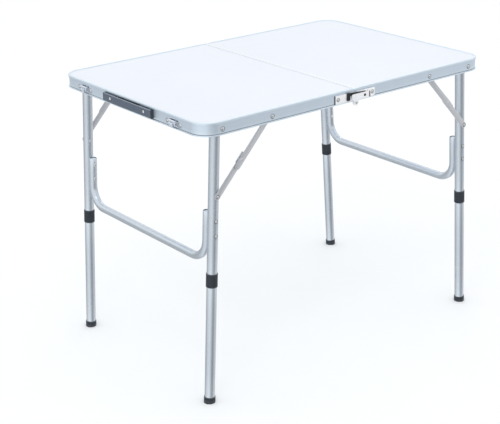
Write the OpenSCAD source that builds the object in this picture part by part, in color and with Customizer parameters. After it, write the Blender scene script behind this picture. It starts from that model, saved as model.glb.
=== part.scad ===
// Folding suitcase table: two hinged top halves in an aluminium rail, a folding leg frame under
// each half, plug-in lower legs, jointed flat-bar braces, centre hinge brackets with lock hooks,
// a carry handle and two draw latches. Millimetres, +Z up, floor at Z = 0.
// The fold line lies on X = 0. Every half is described outward from it, and the left half is
// mirrored. Each edge is described at the back, +Y, and the front one is mirrored.

/* [Table] */
// Overall length over both halves
table_l = 900; // [760:10:1200]
// Overall width over the rails
table_w = 600; // [520:10:800]
// Height of the top above the floor
table_h = 700; // [580:10:800]
// Outer radius of the top's corners
corner_r = 48; // [30:2:60]
// Gap between the two halves at the fold
fold_gap = 0.4; // [0.3:0.1:1]

/* [Rail] */
// Height of the rail
rail_h = 32; // [31:0.5:34]
// Wall thickness of the rail
rail_wall = 1.5; // [1.2:0.1:2]
// How far the beads stand proud of the rail's face
bead_out = 2; // [1.5:0.5:3]
// Height of the top bead
top_bead_h = 5; // [3:0.5:6]
// Height of the bottom bead
bottom_bead_h = 3; // [2:0.5:4]
// Width of the lip that covers the panel's edge
top_lip_w = 5.5; // [4.5:0.5:8]
// Width of the shelf under the panel's edge
shelf_w = 8.5; // [7:0.5:9]
// Width of the lip along the rail's foot
foot_lip_w = 9.5; // [6:0.5:9.5]
// Thickness of the lips and the shelf
lip_t = 1.2; // [0.8:0.1:1.4]

/* [Panel] */
// Thickness of the laminated panel
panel_t = 3; // [2:0.5:3]
// Clearance of the panel in its slot
panel_clear = 0.15; // [0.05:0.05:0.2]
// Width of the trim strip on each fold edge
strip_w = 4.5; // [3:0.5:10]
// Thickness of the trim strip under the panel
strip_under_t = 0.7; // [0.5:0.1:0.8]

/* [Leg frames] */
// Outside diameter of the leg tubes
leg_d = 25; // [19:1:25]
// Wall thickness of the leg tubes
leg_wall = 1.2; // [1:0.1:2]
// Distance of the leg pivots in from the rail's end
leg_end_inset = 55.5; // [50:0.5:80]
// Depth of the leg and brace pivots under the top
pivot_drop = 18.5; // [18.5:0.1:19]
// Distance of the leg tubes in from the rail's outer edge
leg_inset = 32; // [32:0.5:60]
// Outward splay of the legs in degrees
splay = 3.3; // [1:0.1:4]
// Length of the upper leg tube below its pivot
upper_leg_l = 382; // [370:1:384]
// Tube left above the pivot
leg_head_l = 5.5; // [4:0.5:5.5]

/* [Cross bar] */
// Outside diameter of the cross bar
bar_d = 20; // [16:1:22]
// Wall thickness of the cross bar
bar_wall = 1.2; // [1:0.1:2]
// Bend radius of the cross bar to its centre line
bar_bend_r = 52; // [35:1:60]
// Distance of the cross bar below the leg pivot
bar_drop = 328; // [290:1:335]
// Length of the bar's upturned ends above its centre line
bar_rise = 124; // [115:1:130]
// Distance of the first cross bar rivet below the leg pivot
bar_rivet_a = 222; // [218:1:230]
// Distance of the second cross bar rivet below the leg pivot
bar_rivet_b = 258; // [245:1:260]

/* [Lower legs] */
// Outside diameter of the collar
collar_d = 28; // [27:0.5:28]
// Length of the collar
collar_l = 33; // [20:1:40]
// Thickness of the collar's end
collar_end_t = 2; // [1.5:0.5:4]
// Length of the plug inside the upper leg
plug_l = 60; // [40:1:70]
// Outside diameter of the foot cap
foot_d = 28; // [27:0.5:30]
// Height of the foot cap
foot_h = 15; // [10:1:30]
// Thickness of the foot cap's sole
sole_t = 4; // [3:0.5:6]

/* [Braces] */
// Distance from the leg pivot in to the brace's rail pivot
brace_inset = 141.5; // [136:0.5:150]
// Distance of the brace's leg rivet below the leg pivot
brace_leg_drop = 161.8; // [160:0.1:170]
// Angle that the leg frame folds through in degrees
fold_turn = 93.2; // [90:0.1:94]
// Width of the brace links
link_w = 15; // [10:0.5:16]
// Thickness of the brace links
link_t = 1.8; // [1.5:0.1:2]
// Length of the upper link past the knee
link_tail = 25; // [12:1:30]
// Width of the lower link's guide at the knee
guide_w = 19; // [17:0.5:20]
// Gap between the leg and the lower link
link_gap = 1.9; // [1.8:0.1:2]

/* [Centre brackets] */
// Length of each hinge plate along the rail
hinge_plate_l = 61; // [55:1:80]
// Top of the hinge plates under the table top
hinge_plate_top = 8.5; // [6:0.5:9]
// Height of the hinge plates
hinge_plate_h = 20.5; // [19:0.5:21]
// Thickness of the hinge plates
hinge_plate_t = 1.5; // [1.2:0.1:1.8]
// Depth of the fold axis under the table top
fold_axis_drop = 34.5; // [34:0.5:38]
// Radius of the hinge ears
ear_r = 8; // [6:0.5:9]
// Length of the cover plate past the fold line
cover_reach = 14; // [10:1:18]
// Distance of the lock hook's pivot from the fold line
hook_pivot_x = 27; // [22:1:32]
// Length of the lock hook from its pivot
hook_l = 56; // [50:1:60]
// Thickness of the lock hook
hook_t = 1.8; // [1.2:0.1:2.4]

/* [Handle and latches] */
// Length of the carry handle
handle_l = 203; // [170:1:240]
// Height of the carry handle
handle_h = 20; // [16:1:22]
// How far the handle stands off the rail
handle_out = 8.5; // [8.5:0.5:16]
// Length of the finger gap behind the handle
grip_gap_l = 104; // [90:1:120]
// Depth of the finger gap behind the handle
grip_gap = 6.5; // [5:0.5:7]
// Distance of each handle rivet from the handle's middle
handle_rivet_y = 71; // [66:1:78]
// How far the handle's middle lies in front of the table's centre line
handle_offset = 7; // [0:1:20]
// Distance of the latches from the table's centre line
latch_y = 188; // [160:1:190]
// Length of the latch plate
latch_l = 62; // [50:1:70]
// Height of the latch plate
latch_h = 17; // [15:1:18]
// Length of the keeper plate
keeper_l = 40; // [32:1:50]

/* [Fasteners] */
// Shank diameter of the pivots
pivot_d = 6; // [5:0.5:7]
// Shank diameter of the small rivets
rivet_d = 4; // [3:0.5:5]
// Head diameter of the pivots
pivot_head_d = 9; // [8:0.5:10]
// Head diameter of the small rivets
rivet_head_d = 7.5; // [6.5:0.5:8]
// Height of the pivot and rivet heads
head_h = 1.5; // [1.2:0.1:1.6]
// Radial clearance of a pivot in its bore
run_clear = 0.06; // [0.02:0.01:0.1]
// Clearance between moving pieces that pass each other
pass_clear = 0.4; // [0.3:0.1:0.5]

/* [Hidden] */

rail_colour = [0.78, 0.80, 0.82];
tube_colour = [0.70, 0.73, 0.77];
steel_colour = [0.86, 0.87, 0.88];
panel_colour = [0.95, 0.96, 0.98];
slate_colour = [0.29, 0.33, 0.39];
black_colour = [0.16, 0.19, 0.22];

left = -1;
right = 1;
front = -1;
back = 1;

fine_fn = 96;
tube_fn = 64;
small_fn = 48;
touch = 0.05;
seat = 0.1;
over = 1;
side_gap = 0.3;
pin_end = 0.1;
bead_chamfer = 0.6;
head_chamfer = 1.2;
half_l = table_l / 2;
half_w = table_w / 2;
half_start = fold_gap / 2;
leg_pivot_x = half_l - leg_end_inset;
brace_rail_x = leg_pivot_x - brace_inset;
pivot_z = table_h - pivot_drop;
pivot_r = pivot_d / 2;
pivot_head_r = pivot_head_d / 2;
rivet_r = rivet_d / 2;
rivet_head_r = rivet_head_d / 2;

// places across the rail, measured in from its outermost line
wall_d = bead_out + rail_wall;
slot_bottom = lip_t + panel_t + 2 * panel_clear;
panel_edge_d = wall_d + 2 * panel_clear;
rail_face_y = half_w - bead_out;
rail_wall_y = half_w - wall_d;
rail_face_x = half_l - bead_out;
rail_wall_x = half_l - wall_d;
rail_foot_z = table_h - rail_h;

// leg frame, from the leg's centre line outward and inward
leg_r = leg_d / 2;
leg_y = half_w - leg_inset;
leg_out_y = leg_y + leg_r;
leg_in_y = leg_y - leg_r;
bar_r = bar_d / 2;
bar_y = leg_in_y - bar_r - seat;
bar_in_y = bar_y - bar_r;
sleeve_r = 5;
plug_r = leg_r - leg_wall - seat;
collar_foot = upper_leg_l + collar_end_t;
lower_top = collar_foot + pass_clear;
floor_drop = pivot_z / cos(splay);
bar_plug_h = 8;
bar_plug_sink = 1;
foot_below = 5;
foot_cut = 20;

// brace links, layer by layer out from the leg
link_in_y = leg_out_y + link_gap;
link_in_top_y = link_in_y + link_t;
link_out_y = link_in_top_y + head_h + pass_clear;
link_out_top_y = link_out_y + link_t;
brace_leg_x = leg_pivot_x + brace_leg_drop * sin(splay);
brace_leg_z = pivot_z - brace_leg_drop * cos(splay);
brace_reach = norm([brace_leg_x - brace_rail_x, brace_leg_z - pivot_z]);
brace_angle = atan2(brace_leg_z - pivot_z, brace_leg_x - brace_rail_x);
// the leg's direction when folded, measured from straight down towards the fold line
folded_dir = fold_turn - splay;
folded_brace_x = leg_pivot_x - brace_leg_drop * sin(folded_dir);
folded_brace_z = pivot_z - brace_leg_drop * cos(folded_dir);
folded_reach = norm([folded_brace_x - brace_rail_x, folded_brace_z - pivot_z]);
upper_link_l = (brace_reach + folded_reach) / 2;
lower_link_l = (brace_reach - folded_reach) / 2;
guide_t = 1.5;
guide_back = 12;

// centre brackets, layer by layer out from the rail's face
plate_in_y = rail_face_y + side_gap;
plate_out_y = plate_in_y + hinge_plate_t;
hook_in_y = half_w + pass_clear;
hook_out_y = hook_in_y + hook_t;
cover_in_y = hook_out_y + pass_clear;
cover_out_y = cover_in_y + hinge_plate_t;
plate_top_z = table_h - hinge_plate_top;
plate_foot_z = plate_top_z - hinge_plate_h;
fold_axis_z = table_h - fold_axis_drop;
plate_start = 2;
plate_rivet_edge = 8;
plate_rivet_x = plate_start + hinge_plate_l - plate_rivet_edge;
plate_flush_rivet_x = 12;
plate_rivet_z = plate_top_z - hinge_plate_h / 2;
fold_pin_r = 2.5;
fold_pin_head_r = 4;
ear_neck = 6;
ear_clear = 1.5;
cover_drop = 4.5;
cover_foot_gap = 0.5;
cover_past_pivot = 20;
cover_out_x = hook_pivot_x + cover_past_pivot;
joggle_w = 5;
hook_pivot_drop = 20.5;
hook_pivot_z = table_h - hook_pivot_drop;
hook_top_drop = 7.2;
hook_foot_drop = 27;
hook_top_z = table_h - hook_top_drop;
hook_foot_z = table_h - hook_foot_drop;
hook_bar_h = 8;
hook_taper = 4.5;
hook_curl_w = 11;
hook_lug_w = 10;
hook_rivet_wall = 0.8;

// handle and latches
handle_drop = 16;
handle_z = table_h - handle_drop;
handle_y = -handle_offset;
handle_chamfer = 1.5;
latch_drop = 17.5;
latch_z = table_h - latch_drop;
latch_plate_t = 1.2;
latch_rivet_edge = 6;
latch_rivet_y = latch_l / 2 - latch_rivet_edge;
lug_y = 12.5;
lug_t = 1.2;
lug_h = 7;
lug_out = 6.5;
latch_pin_r = 1.25;
latch_pin_out = 4.6;
latch_pin_up = 4;
latch_pin_x = rail_face_x + latch_pin_out;
latch_pin_z = latch_z + latch_pin_up;
barrel_r = 2.5;
lever_w = 2 * lug_y - lug_t - 2 * pass_clear;
lever_l = 11.5;
lever_t = 1.2;
claw_lug_t = 1.2;
claw_w = 12;
claw_t = 1;
claw_pin_out = 4.2;
claw_pin_down = 5;
claw_pin_x = latch_pin_x + claw_pin_out;
claw_pin_z = latch_pin_z - claw_pin_down;
claw_pin_r = 0.9;
claw_barrel_r = 1.8;
claw_drop = 9;
claw_hook_l = 2.5;
keeper_t = 1.2;
keeper_out = 5;
keeper_lip_l = 24;
keeper_rivet_edge = 4;
keeper_rivet_y = keeper_l / 2 - keeper_rivet_edge;

module half(side) {
    if (side > 0) children();
    else mirror([1, 0, 0]) children();
}

module edge(side) {
    if (side > 0) children();
    else mirror([0, 1, 0]) children();
}

module both_edges() {
    children();
    mirror([0, 1, 0]) children();
}

// places children in a leg frame: its pivot at the origin, the leg down along -Z
module on_leg() {
    translate([leg_pivot_x, 0, pivot_z]) rotate([0, -splay, 0]) children();
}

// a round bar along +Y from y0 to y1, tapered to end_r if that is given
module y_bar(x, z, r, y0, y1, end_r = -1) {
    translate([x, y0, z])
        rotate([-90, 0, 0])
            cylinder(h = y1 - y0, r1 = r, r2 = end_r < 0 ? r : end_r, $fn = small_fn);
}

// a round bar along +X from x0 to x1, tapered to end_r if that is given
module x_bar(y, z, r, x0, x1, end_r = -1) {
    translate([x0, y, z])
        rotate([0, 90, 0])
            cylinder(h = x1 - x0, r1 = r, r2 = end_r < 0 ? r : end_r, $fn = small_fn);
}

// a tapered rivet head, its flat side at y0
module y_head(x, z, r, y0) {
    y_bar(x, z, r, y0, y0 + head_h, r - head_chamfer);
}

// a block given by its two opposite corners
module block(a, b) {
    translate(a) cube(b - a);
}

// the rail's section: X in from the outer line, Y up from the rail's foot
module rail_section() {
    slot_hi = rail_h - lip_t;
    slot_lo = rail_h - slot_bottom;
    polygon([
        [bead_chamfer, rail_h],
        [top_lip_w, rail_h],
        [top_lip_w, slot_hi],
        [wall_d, slot_hi],
        [wall_d, slot_lo],
        [shelf_w, slot_lo],
        [shelf_w, slot_lo - lip_t],
        [wall_d, slot_lo - lip_t],
        [wall_d, lip_t],
        [foot_lip_w, lip_t],
        [foot_lip_w, 0],
        [bead_chamfer, 0],
        [0, bead_chamfer],
        [0, bottom_bead_h - bead_chamfer],
        [bead_chamfer, bottom_bead_h],
        [bead_out, bottom_bead_h],
        [bead_out, rail_h - top_bead_h],
        [bead_chamfer, rail_h - top_bead_h],
        [0, rail_h - top_bead_h + bead_chamfer],
        [0, rail_h - bead_chamfer]
    ]);
}

module rail_side() {
    translate([half_start, -half_w, rail_foot_z])
        rotate([90, 0, 90])
            linear_extrude(half_l - corner_r - half_start) rail_section();
}

module rail_corner() {
    translate([half_l - corner_r, corner_r - half_w, rail_foot_z])
        rotate([0, 0, -90])
            rotate_extrude(angle = 90, $fn = fine_fn)
                translate([corner_r, 0]) mirror([1, 0]) rail_section();
}

module rail_end() {
    translate([half_l, corner_r - half_w, rail_foot_z])
        rotate([90, 0, 180])
            linear_extrude(table_w - 2 * corner_r) rail_section();
}

// the rail bent round three sides of a half, less its holes and whatever is passed in
module rail() {
    notch_l = ear_r + ear_clear + over;
    difference() {
        union() {
            both_edges() {
                rail_side();
                rail_corner();
            }
            rail_end();
        }
        both_edges() {
            for (x = [leg_pivot_x, brace_rail_x])
                y_bar(x, pivot_z, pivot_r + touch, rail_wall_y - over, half_w + over);
            for (x = [plate_rivet_x, plate_flush_rivet_x])
                y_bar(x, plate_rivet_z, rivet_r + touch, rail_wall_y - over, half_w + over);
            block([0, rail_face_y, rail_foot_z - over],
                  [notch_l, half_w + over, rail_foot_z + bottom_bead_h + over]);
        }
        children();
    }
}

module end_hole(y, z) {
    x_bar(y, z, rivet_r + touch, rail_wall_x - over, half_l + over);
}

// rivet through the rail's end wall and whatever lies on its face up to x1
module end_rivet(y, z, x1) {
    x_bar(y, z, rivet_r, rail_wall_x - touch, x1 + 2 * touch);
    x_bar(y, z, rivet_head_r, x1 + touch, x1 + touch + head_h, rivet_head_r - head_chamfer);
    x_bar(y, z, rivet_head_r, rail_wall_x - touch - over, rail_wall_x - touch);
}

module panel() {
    r = corner_r - panel_edge_d;
    x0 = half_start + lip_t + panel_clear;
    w = table_w - 2 * panel_edge_d;
    translate([0, 0, table_h - slot_bottom + panel_clear])
        linear_extrude(panel_t) {
            translate([x0, -w / 2]) square([half_l - corner_r - x0, w]);
            translate([x0, corner_r - half_w])
                square([half_l - panel_edge_d - x0, table_w - 2 * corner_r]);
            for (s = [front, back])
                translate([half_l - corner_r, s * (half_w - corner_r)]) circle(r, $fn = fine_fn);
        }
}

// trim folded over the panel's edge at the fold
module fold_strip() {
    over_y = half_w - top_lip_w - panel_clear;
    inner_y = half_w - shelf_w - panel_clear;
    under_z = table_h - slot_bottom - strip_under_t;
    block([half_start, -over_y, table_h - lip_t], [half_start + strip_w, over_y, table_h]);
    block([half_start, -inner_y, under_z], [half_start + lip_t, inner_y, table_h - touch]);
    block([half_start, -inner_y, under_z],
          [half_start + strip_w, inner_y, under_z + strip_under_t]);
}

// pivot from the rail's face to an inner head, with a sleeve inside the rail
module rail_pivot(x, sleeve_end_y, shank_end_y) {
    y_bar(x, pivot_z, pivot_r, shank_end_y - touch, rail_face_y + 2 * touch);
    y_head(x, pivot_z, pivot_head_r, rail_face_y + touch);
    y_bar(x, pivot_z, sleeve_r, sleeve_end_y, rail_wall_y - touch);
    y_bar(x, pivot_z, pivot_head_r, shank_end_y - head_h, shank_end_y);
}

module leg_pivots() {
    both_edges() rail_pivot(leg_pivot_x, leg_out_y + side_gap, leg_in_y - side_gap);
}

module brace_pivots() {
    both_edges() rail_pivot(brace_rail_x, link_out_top_y + side_gap, link_out_y - side_gap);
}

// hinge ear round the fold axis, in the layer from y0 to y1
module ear(y0, y1) {
    y_bar(0, fold_axis_z, ear_r, y0, y1);
    block([0, y0, fold_axis_z], [plate_start + ear_neck, y1, plate_foot_z + ear_neck]);
}

module plate_holes() {
    for (x = [plate_rivet_x, plate_flush_rivet_x])
        y_bar(x, plate_rivet_z, rivet_r + touch, rail_face_y, plate_out_y + touch);
}

module left_hinge_plate() {
    difference() {
        union() {
            block([plate_start, plate_in_y, plate_foot_z],
                  [plate_start + hinge_plate_l, plate_out_y, plate_top_z]);
            ear(plate_in_y, plate_out_y);
        }
        plate_holes();
        y_bar(0, fold_axis_z, fold_pin_r + touch, rail_face_y, plate_out_y + over);
    }
}

module right_hinge_plate() {
    difference() {
        union() {
            block([plate_start, plate_in_y, plate_foot_z],
                  [plate_start + hinge_plate_l, plate_out_y, plate_top_z]);
            block([cover_out_x - joggle_w, plate_out_y - touch, plate_foot_z],
                  [cover_out_x, cover_out_y, plate_top_z - cover_drop]);
            block([-cover_reach, cover_in_y, plate_foot_z + cover_foot_gap],
                  [cover_out_x - touch, cover_out_y, plate_top_z - cover_drop]);
            ear(cover_in_y, cover_out_y);
        }
        plate_holes();
        y_bar(0, fold_axis_z, ear_r + ear_clear, rail_face_y, hook_in_y);
        y_bar(0, fold_axis_z, fold_pin_r + run_clear, cover_in_y - over, cover_out_y + over);
        y_bar(hook_pivot_x, hook_pivot_z, rivet_r + touch, rail_face_y, cover_out_y + over);
    }
}

module plate_rivets() {
    both_edges() {
        y_bar(plate_rivet_x, plate_rivet_z, rivet_r,
              rail_wall_y - 2 * touch, plate_out_y + 2 * touch);
        y_head(plate_rivet_x, plate_rivet_z, rivet_head_r, plate_out_y + touch);
        y_bar(plate_flush_rivet_x, plate_rivet_z, rivet_r,
              rail_wall_y - 2 * touch, plate_out_y);
        for (x = [plate_rivet_x, plate_flush_rivet_x])
            y_bar(x, plate_rivet_z, rivet_head_r, rail_wall_y - touch - over, rail_wall_y - touch);
    }
}

// pin fixed in the inner ear, its head outside the outer ear
module fold_pin() {
    y_bar(0, fold_axis_z, fold_pin_r, plate_in_y, cover_out_y + side_gap + pin_end);
    y_head(0, fold_axis_z, fold_pin_head_r, cover_out_y + side_gap);
    y_bar(0, fold_axis_z, fold_pin_head_r, plate_out_y + touch, hook_in_y);
}

// pivot of the lock hook, a hollow rivet from the rail side plate to the cover
module hook_pivot() {
    difference() {
        y_bar(hook_pivot_x, hook_pivot_z, rivet_r, plate_in_y, cover_out_y + 2 * pin_end);
        y_bar(hook_pivot_x, hook_pivot_z, rivet_r - hook_rivet_wall,
              hook_in_y, cover_out_y + over);
    }
}

module lock_hook() {
    hook_end_x = hook_pivot_x - hook_l;
    hook_tip_x = hook_pivot_x + hook_lug_w / 2;
    difference() {
        union() {
            translate([0, hook_out_y, 0])
                rotate([90, 0, 0])
                    linear_extrude(hook_out_y - hook_in_y)
                        polygon([
                            [hook_end_x, hook_top_z - hook_bar_h],
                            [hook_tip_x, hook_top_z - hook_bar_h],
                            [hook_tip_x, hook_top_z - hook_taper],
                            [hook_end_x, hook_top_z]
                        ]);
            block([hook_end_x, hook_in_y, hook_foot_z],
                  [hook_end_x + hook_curl_w, hook_out_y, hook_top_z - hook_taper]);
            block([hook_pivot_x - hook_lug_w / 2, hook_in_y, hook_pivot_z],
                  [hook_tip_x, hook_out_y, hook_top_z - hook_taper - touch]);
            y_bar(hook_pivot_x, hook_pivot_z, hook_lug_w / 2, hook_in_y, hook_out_y);
        }
        y_bar(hook_pivot_x, hook_pivot_z, rivet_r + run_clear, hook_in_y - over, hook_out_y + over);
    }
}

// flat strap handle: two pads on the rail and a bridge over the finger gap
module handle() {
    c = handle_chamfer;
    difference() {
        translate([rail_face_x + touch, handle_y + handle_l / 2, handle_z])
            rotate([90, 0, 0])
                linear_extrude(handle_l)
                    polygon([
                        [0, -handle_h / 2],
                        [handle_out - c, -handle_h / 2],
                        [handle_out, -handle_h / 2 + c],
                        [handle_out, handle_h / 2 - c],
                        [handle_out - c, handle_h / 2],
                        [0, handle_h / 2]
                    ]);
        block([rail_face_x - over, handle_y - grip_gap_l / 2, handle_z - handle_h],
              [rail_face_x + grip_gap, handle_y + grip_gap_l / 2, handle_z + handle_h]);
        for (s = [front, back])
            x_bar(handle_y + s * handle_rivet_y, handle_z, rivet_r + touch,
                  rail_face_x - over, rail_face_x + handle_out + over);
    }
}

// latch base plate with two lugs, centred on its own Y
module latch_base() {
    difference() {
        union() {
            block([rail_face_x + touch, -latch_l / 2, latch_z - latch_h / 2],
                  [rail_face_x + latch_plate_t, latch_l / 2, latch_z + latch_h / 2]);
            for (s = [front, back])
                translate([0, s * lug_y, 0])
                    block([rail_face_x + latch_plate_t - touch, -lug_t / 2,
                           latch_pin_z - lug_h / 2],
                          [rail_face_x + lug_out, lug_t / 2, latch_pin_z + lug_h / 2]);
        }
        for (s = [front, back])
            x_bar(s * latch_rivet_y, latch_z, rivet_r + touch, rail_face_x - over, half_l + over);
        y_bar(latch_pin_x, latch_pin_z, latch_pin_r + touch, -latch_l / 2, latch_l / 2);
    }
}

module latch_lever() {
    y0 = -lever_w / 2;
    y1 = lever_w / 2;
    claw_lug_y = claw_w / 2 + pass_clear + claw_lug_t / 2;
    difference() {
        union() {
            y_bar(latch_pin_x, latch_pin_z, barrel_r, y0, y1);
            block([latch_pin_x, y0, latch_pin_z - lever_l],
                  [latch_pin_x + lever_t, y1, latch_pin_z]);
            for (s = [front, back])
                translate([0, s * claw_lug_y, 0])
                    block([latch_pin_x + lever_t - touch, -claw_lug_t / 2,
                           claw_pin_z - claw_barrel_r],
                          [claw_pin_x + claw_barrel_r, claw_lug_t / 2,
                           claw_pin_z + claw_barrel_r]);
        }
        y_bar(latch_pin_x, latch_pin_z, latch_pin_r + run_clear, y0 - over, y1 + over);
        y_bar(claw_pin_x, claw_pin_z, claw_pin_r + touch, y0, y1);
    }
    y_bar(claw_pin_x, claw_pin_z, claw_pin_r,
          -claw_lug_y - claw_lug_t / 2, claw_lug_y + claw_lug_t / 2);
}

// hooked plate that hangs from the lever's pin
module latch_claw() {
    y0 = -claw_w / 2;
    y1 = claw_w / 2;
    difference() {
        union() {
            y_bar(claw_pin_x, claw_pin_z, claw_barrel_r, y0, y1);
            block([claw_pin_x - claw_t / 2, y0, claw_pin_z - claw_drop],
                  [claw_pin_x + claw_t / 2, y1, claw_pin_z]);
            block([claw_pin_x - claw_hook_l, y0, claw_pin_z - claw_drop],
                  [claw_pin_x, y1, claw_pin_z - claw_drop + claw_t]);
        }
        y_bar(claw_pin_x, claw_pin_z, claw_pin_r + run_clear, y0 - over, y1 + over);
    }
}

module keeper() {
    z0 = latch_z - latch_h / 2;
    difference() {
        union() {
            block([rail_face_x + touch, -keeper_l / 2, z0],
                  [rail_face_x + keeper_t, keeper_l / 2, z0 + latch_h]);
            block([rail_face_x + touch, -keeper_lip_l / 2, z0],
                  [rail_face_x + keeper_out, keeper_lip_l / 2, z0 + keeper_t]);
            block([rail_face_x + keeper_out - keeper_t, -keeper_lip_l / 2, z0],
                  [rail_face_x + keeper_out, keeper_lip_l / 2, z0 + keeper_out]);
        }
        for (s = [front, back])
            x_bar(s * keeper_rivet_y, latch_z, rivet_r + touch, rail_face_x - over, half_l + over);
    }
}

module leg_bores(y0, y1) {
    y_bar(0, 0, pivot_r + run_clear, y0, y1);
    y_bar(0, -brace_leg_drop, rivet_r + touch, y0, y1);
    for (d = [bar_rivet_a, bar_rivet_b])
        y_bar(0, -d, rivet_r + touch, y0, y1);
}

module upper_leg() {
    on_leg()
        difference() {
            translate([0, leg_y, -upper_leg_l])
                cylinder(h = upper_leg_l + leg_head_l, r = leg_r, $fn = tube_fn);
            translate([0, leg_y, -upper_leg_l - over])
                cylinder(h = upper_leg_l + leg_head_l + 2 * over, r = leg_r - leg_wall, $fn = tube_fn);
            leg_bores(leg_in_y - over, leg_out_y + over);
        }
}

// round solid following the cross bar's centre line, at radius r
module bar_path(r) {
    stub_l = bar_rise - bar_bend_r;
    both_edges() {
        translate([0, bar_y, bar_bend_r - bar_drop])
            cylinder(h = stub_l, r = r, $fn = small_fn);
        translate([0, bar_y - bar_bend_r, bar_bend_r - bar_drop])
            rotate([90, 0, 90])
                rotate([0, 0, -90])
                    rotate_extrude(angle = 90, $fn = fine_fn)
                        translate([bar_bend_r, 0]) circle(r, $fn = small_fn);
    }
    y_bar(0, -bar_drop, r, bar_bend_r - bar_y, bar_y - bar_bend_r);
}

module cross_bar() {
    on_leg()
        difference() {
            bar_path(bar_r);
            bar_path(bar_r - bar_wall);
            both_edges() {
                translate([0, bar_y, bar_rise - bar_drop - touch])
                    cylinder(h = over, r = bar_r - bar_wall, $fn = small_fn);
                for (d = [bar_rivet_a, bar_rivet_b])
                    y_bar(0, -d, rivet_r + touch, bar_in_y - over, leg_in_y);
            }
        }
}

module bar_plugs() {
    on_leg() both_edges()
        translate([0, bar_y, bar_rise - bar_drop - bar_plug_sink - bar_plug_h])
            cylinder(h = bar_plug_h, r = bar_r - bar_wall - touch, $fn = small_fn);
}

module bar_rivets() {
    on_leg() both_edges()
        for (d = [bar_rivet_a, bar_rivet_b]) {
            y_bar(0, -d, rivet_r, bar_in_y - touch, leg_out_y + 2 * touch);
            y_head(0, -d, rivet_head_r, leg_out_y + touch);
            y_bar(0, -d, rivet_head_r, bar_in_y - touch - head_h, bar_in_y - touch);
        }
}

// rivet that holds the lower link on the outside of the leg
module brace_rivets() {
    on_leg() both_edges() {
        y_bar(0, -brace_leg_drop, rivet_r, leg_in_y - touch, link_in_top_y + side_gap);
        y_bar(0, -brace_leg_drop, rivet_head_r, leg_out_y + touch, link_in_y - side_gap);
        y_head(0, -brace_leg_drop, rivet_head_r, link_in_top_y + side_gap - pin_end);
        y_bar(0, -brace_leg_drop, rivet_head_r, leg_in_y - touch - head_h, leg_in_y - touch);
    }
}

module collar() {
    on_leg()
        translate([0, leg_y, 0])
            difference() {
                translate([0, 0, -collar_foot]) cylinder(h = collar_l, r = collar_d / 2, $fn = tube_fn);
                translate([0, 0, -upper_leg_l - touch])
                    cylinder(h = collar_l, r = leg_r + touch, $fn = tube_fn);
                translate([0, 0, -collar_foot - over])
                    cylinder(h = collar_l, r = plug_r + seat, $fn = tube_fn);
            }
}

// lower leg: full-diameter tube with a stepped-in plug at its top
module lower_leg() {
    tube_end = floor_drop - sole_t - seat;
    on_leg()
        translate([0, leg_y, 0])
            difference() {
                union() {
                    translate([0, 0, -tube_end])
                        cylinder(h = tube_end - lower_top, r = leg_r, $fn = tube_fn);
                    translate([0, 0, -lower_top - touch])
                        cylinder(h = plug_l + touch, r = plug_r, $fn = tube_fn);
                }
                translate([0, 0, -tube_end - over])
                    cylinder(h = tube_end + over - lower_top + plug_l + over,
                             r = plug_r - leg_wall, $fn = tube_fn);
                translate([0, 0, -tube_end - over])
                    cylinder(h = tube_end - lower_top, r = leg_r - leg_wall, $fn = tube_fn);
            }
}

module foot() {
    difference() {
        on_leg()
            translate([0, leg_y, 0])
                difference() {
                    translate([0, 0, -floor_drop - foot_below])
                        cylinder(h = foot_h + foot_below, r = foot_d / 2, $fn = tube_fn);
                    translate([0, 0, -floor_drop + sole_t])
                        cylinder(h = foot_h, r = leg_r + touch, $fn = tube_fn);
                }
        block([0, 0, -foot_cut], [table_l, table_w, 0]);
    }
}

// flat link in the XZ plane along its own +X, from y0 to y0 + link_t
module link_plate(l, tail, y0) {
    translate([0, y0 + link_t, 0])
        rotate([90, 0, 0])
            linear_extrude(link_t) {
                circle(link_w / 2, $fn = small_fn);
                translate([0, -link_w / 2]) square([l + tail - link_w / 2, link_w]);
                translate([l + tail - link_w / 2, 0]) circle(link_w / 2, $fn = small_fn);
            }
}

module upper_link() {
    translate([brace_rail_x, 0, pivot_z])
        rotate([0, -brace_angle, 0]) {
            difference() {
                link_plate(upper_link_l, link_tail, link_out_y);
                y_bar(0, 0, pivot_r + run_clear, link_out_y - over, link_out_top_y + over);
            }
            y_head(upper_link_l, 0, pivot_head_r, link_out_top_y - touch);
        }
}

module lower_link() {
    guide_end = lower_link_l + link_tail - link_w / 2;
    translate([brace_leg_x, 0, brace_leg_z])
        rotate([0, -brace_angle - 180, 0]) {
            difference() {
                union() {
                    link_plate(lower_link_l, link_w / 2, link_in_y);
                    block([lower_link_l - guide_back, link_in_y, -guide_w / 2 - guide_t / 2],
                          [guide_end, link_in_top_y, link_w / 2]);
                    y_bar(lower_link_l, 0, pivot_head_r, link_in_top_y - touch,
                          link_out_y - pass_clear);
                }
                y_bar(0, 0, rivet_r + run_clear, link_in_y - over, link_in_top_y + over);
            }
        }
}

module left_rail() {
    half(left) color(rail_colour)
    rail() {
        for (s = [front, back]) {
            end_hole(handle_y + s * handle_rivet_y, handle_z);
            for (t = [front, back]) end_hole(s * latch_y + t * latch_rivet_y, latch_z);
        }
    }
}

module left_panel() {
    half(left) color(panel_colour) panel();
}

module left_fold_strip() {
    half(left) color(rail_colour) fold_strip();
}

module left_hinge_plates() {
    half(left) color(steel_colour) both_edges() left_hinge_plate();
}

module left_plate_rivets() {
    half(left) color(steel_colour) plate_rivets();
}

module left_leg_pivots() {
    half(left) color(steel_colour) leg_pivots();
}

module left_brace_pivots() {
    half(left) color(steel_colour) brace_pivots();
}

module fold_pins() {
    color(steel_colour) both_edges() fold_pin();
}

module carry_handle() {
    half(left) color(slate_colour) handle();
}

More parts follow.
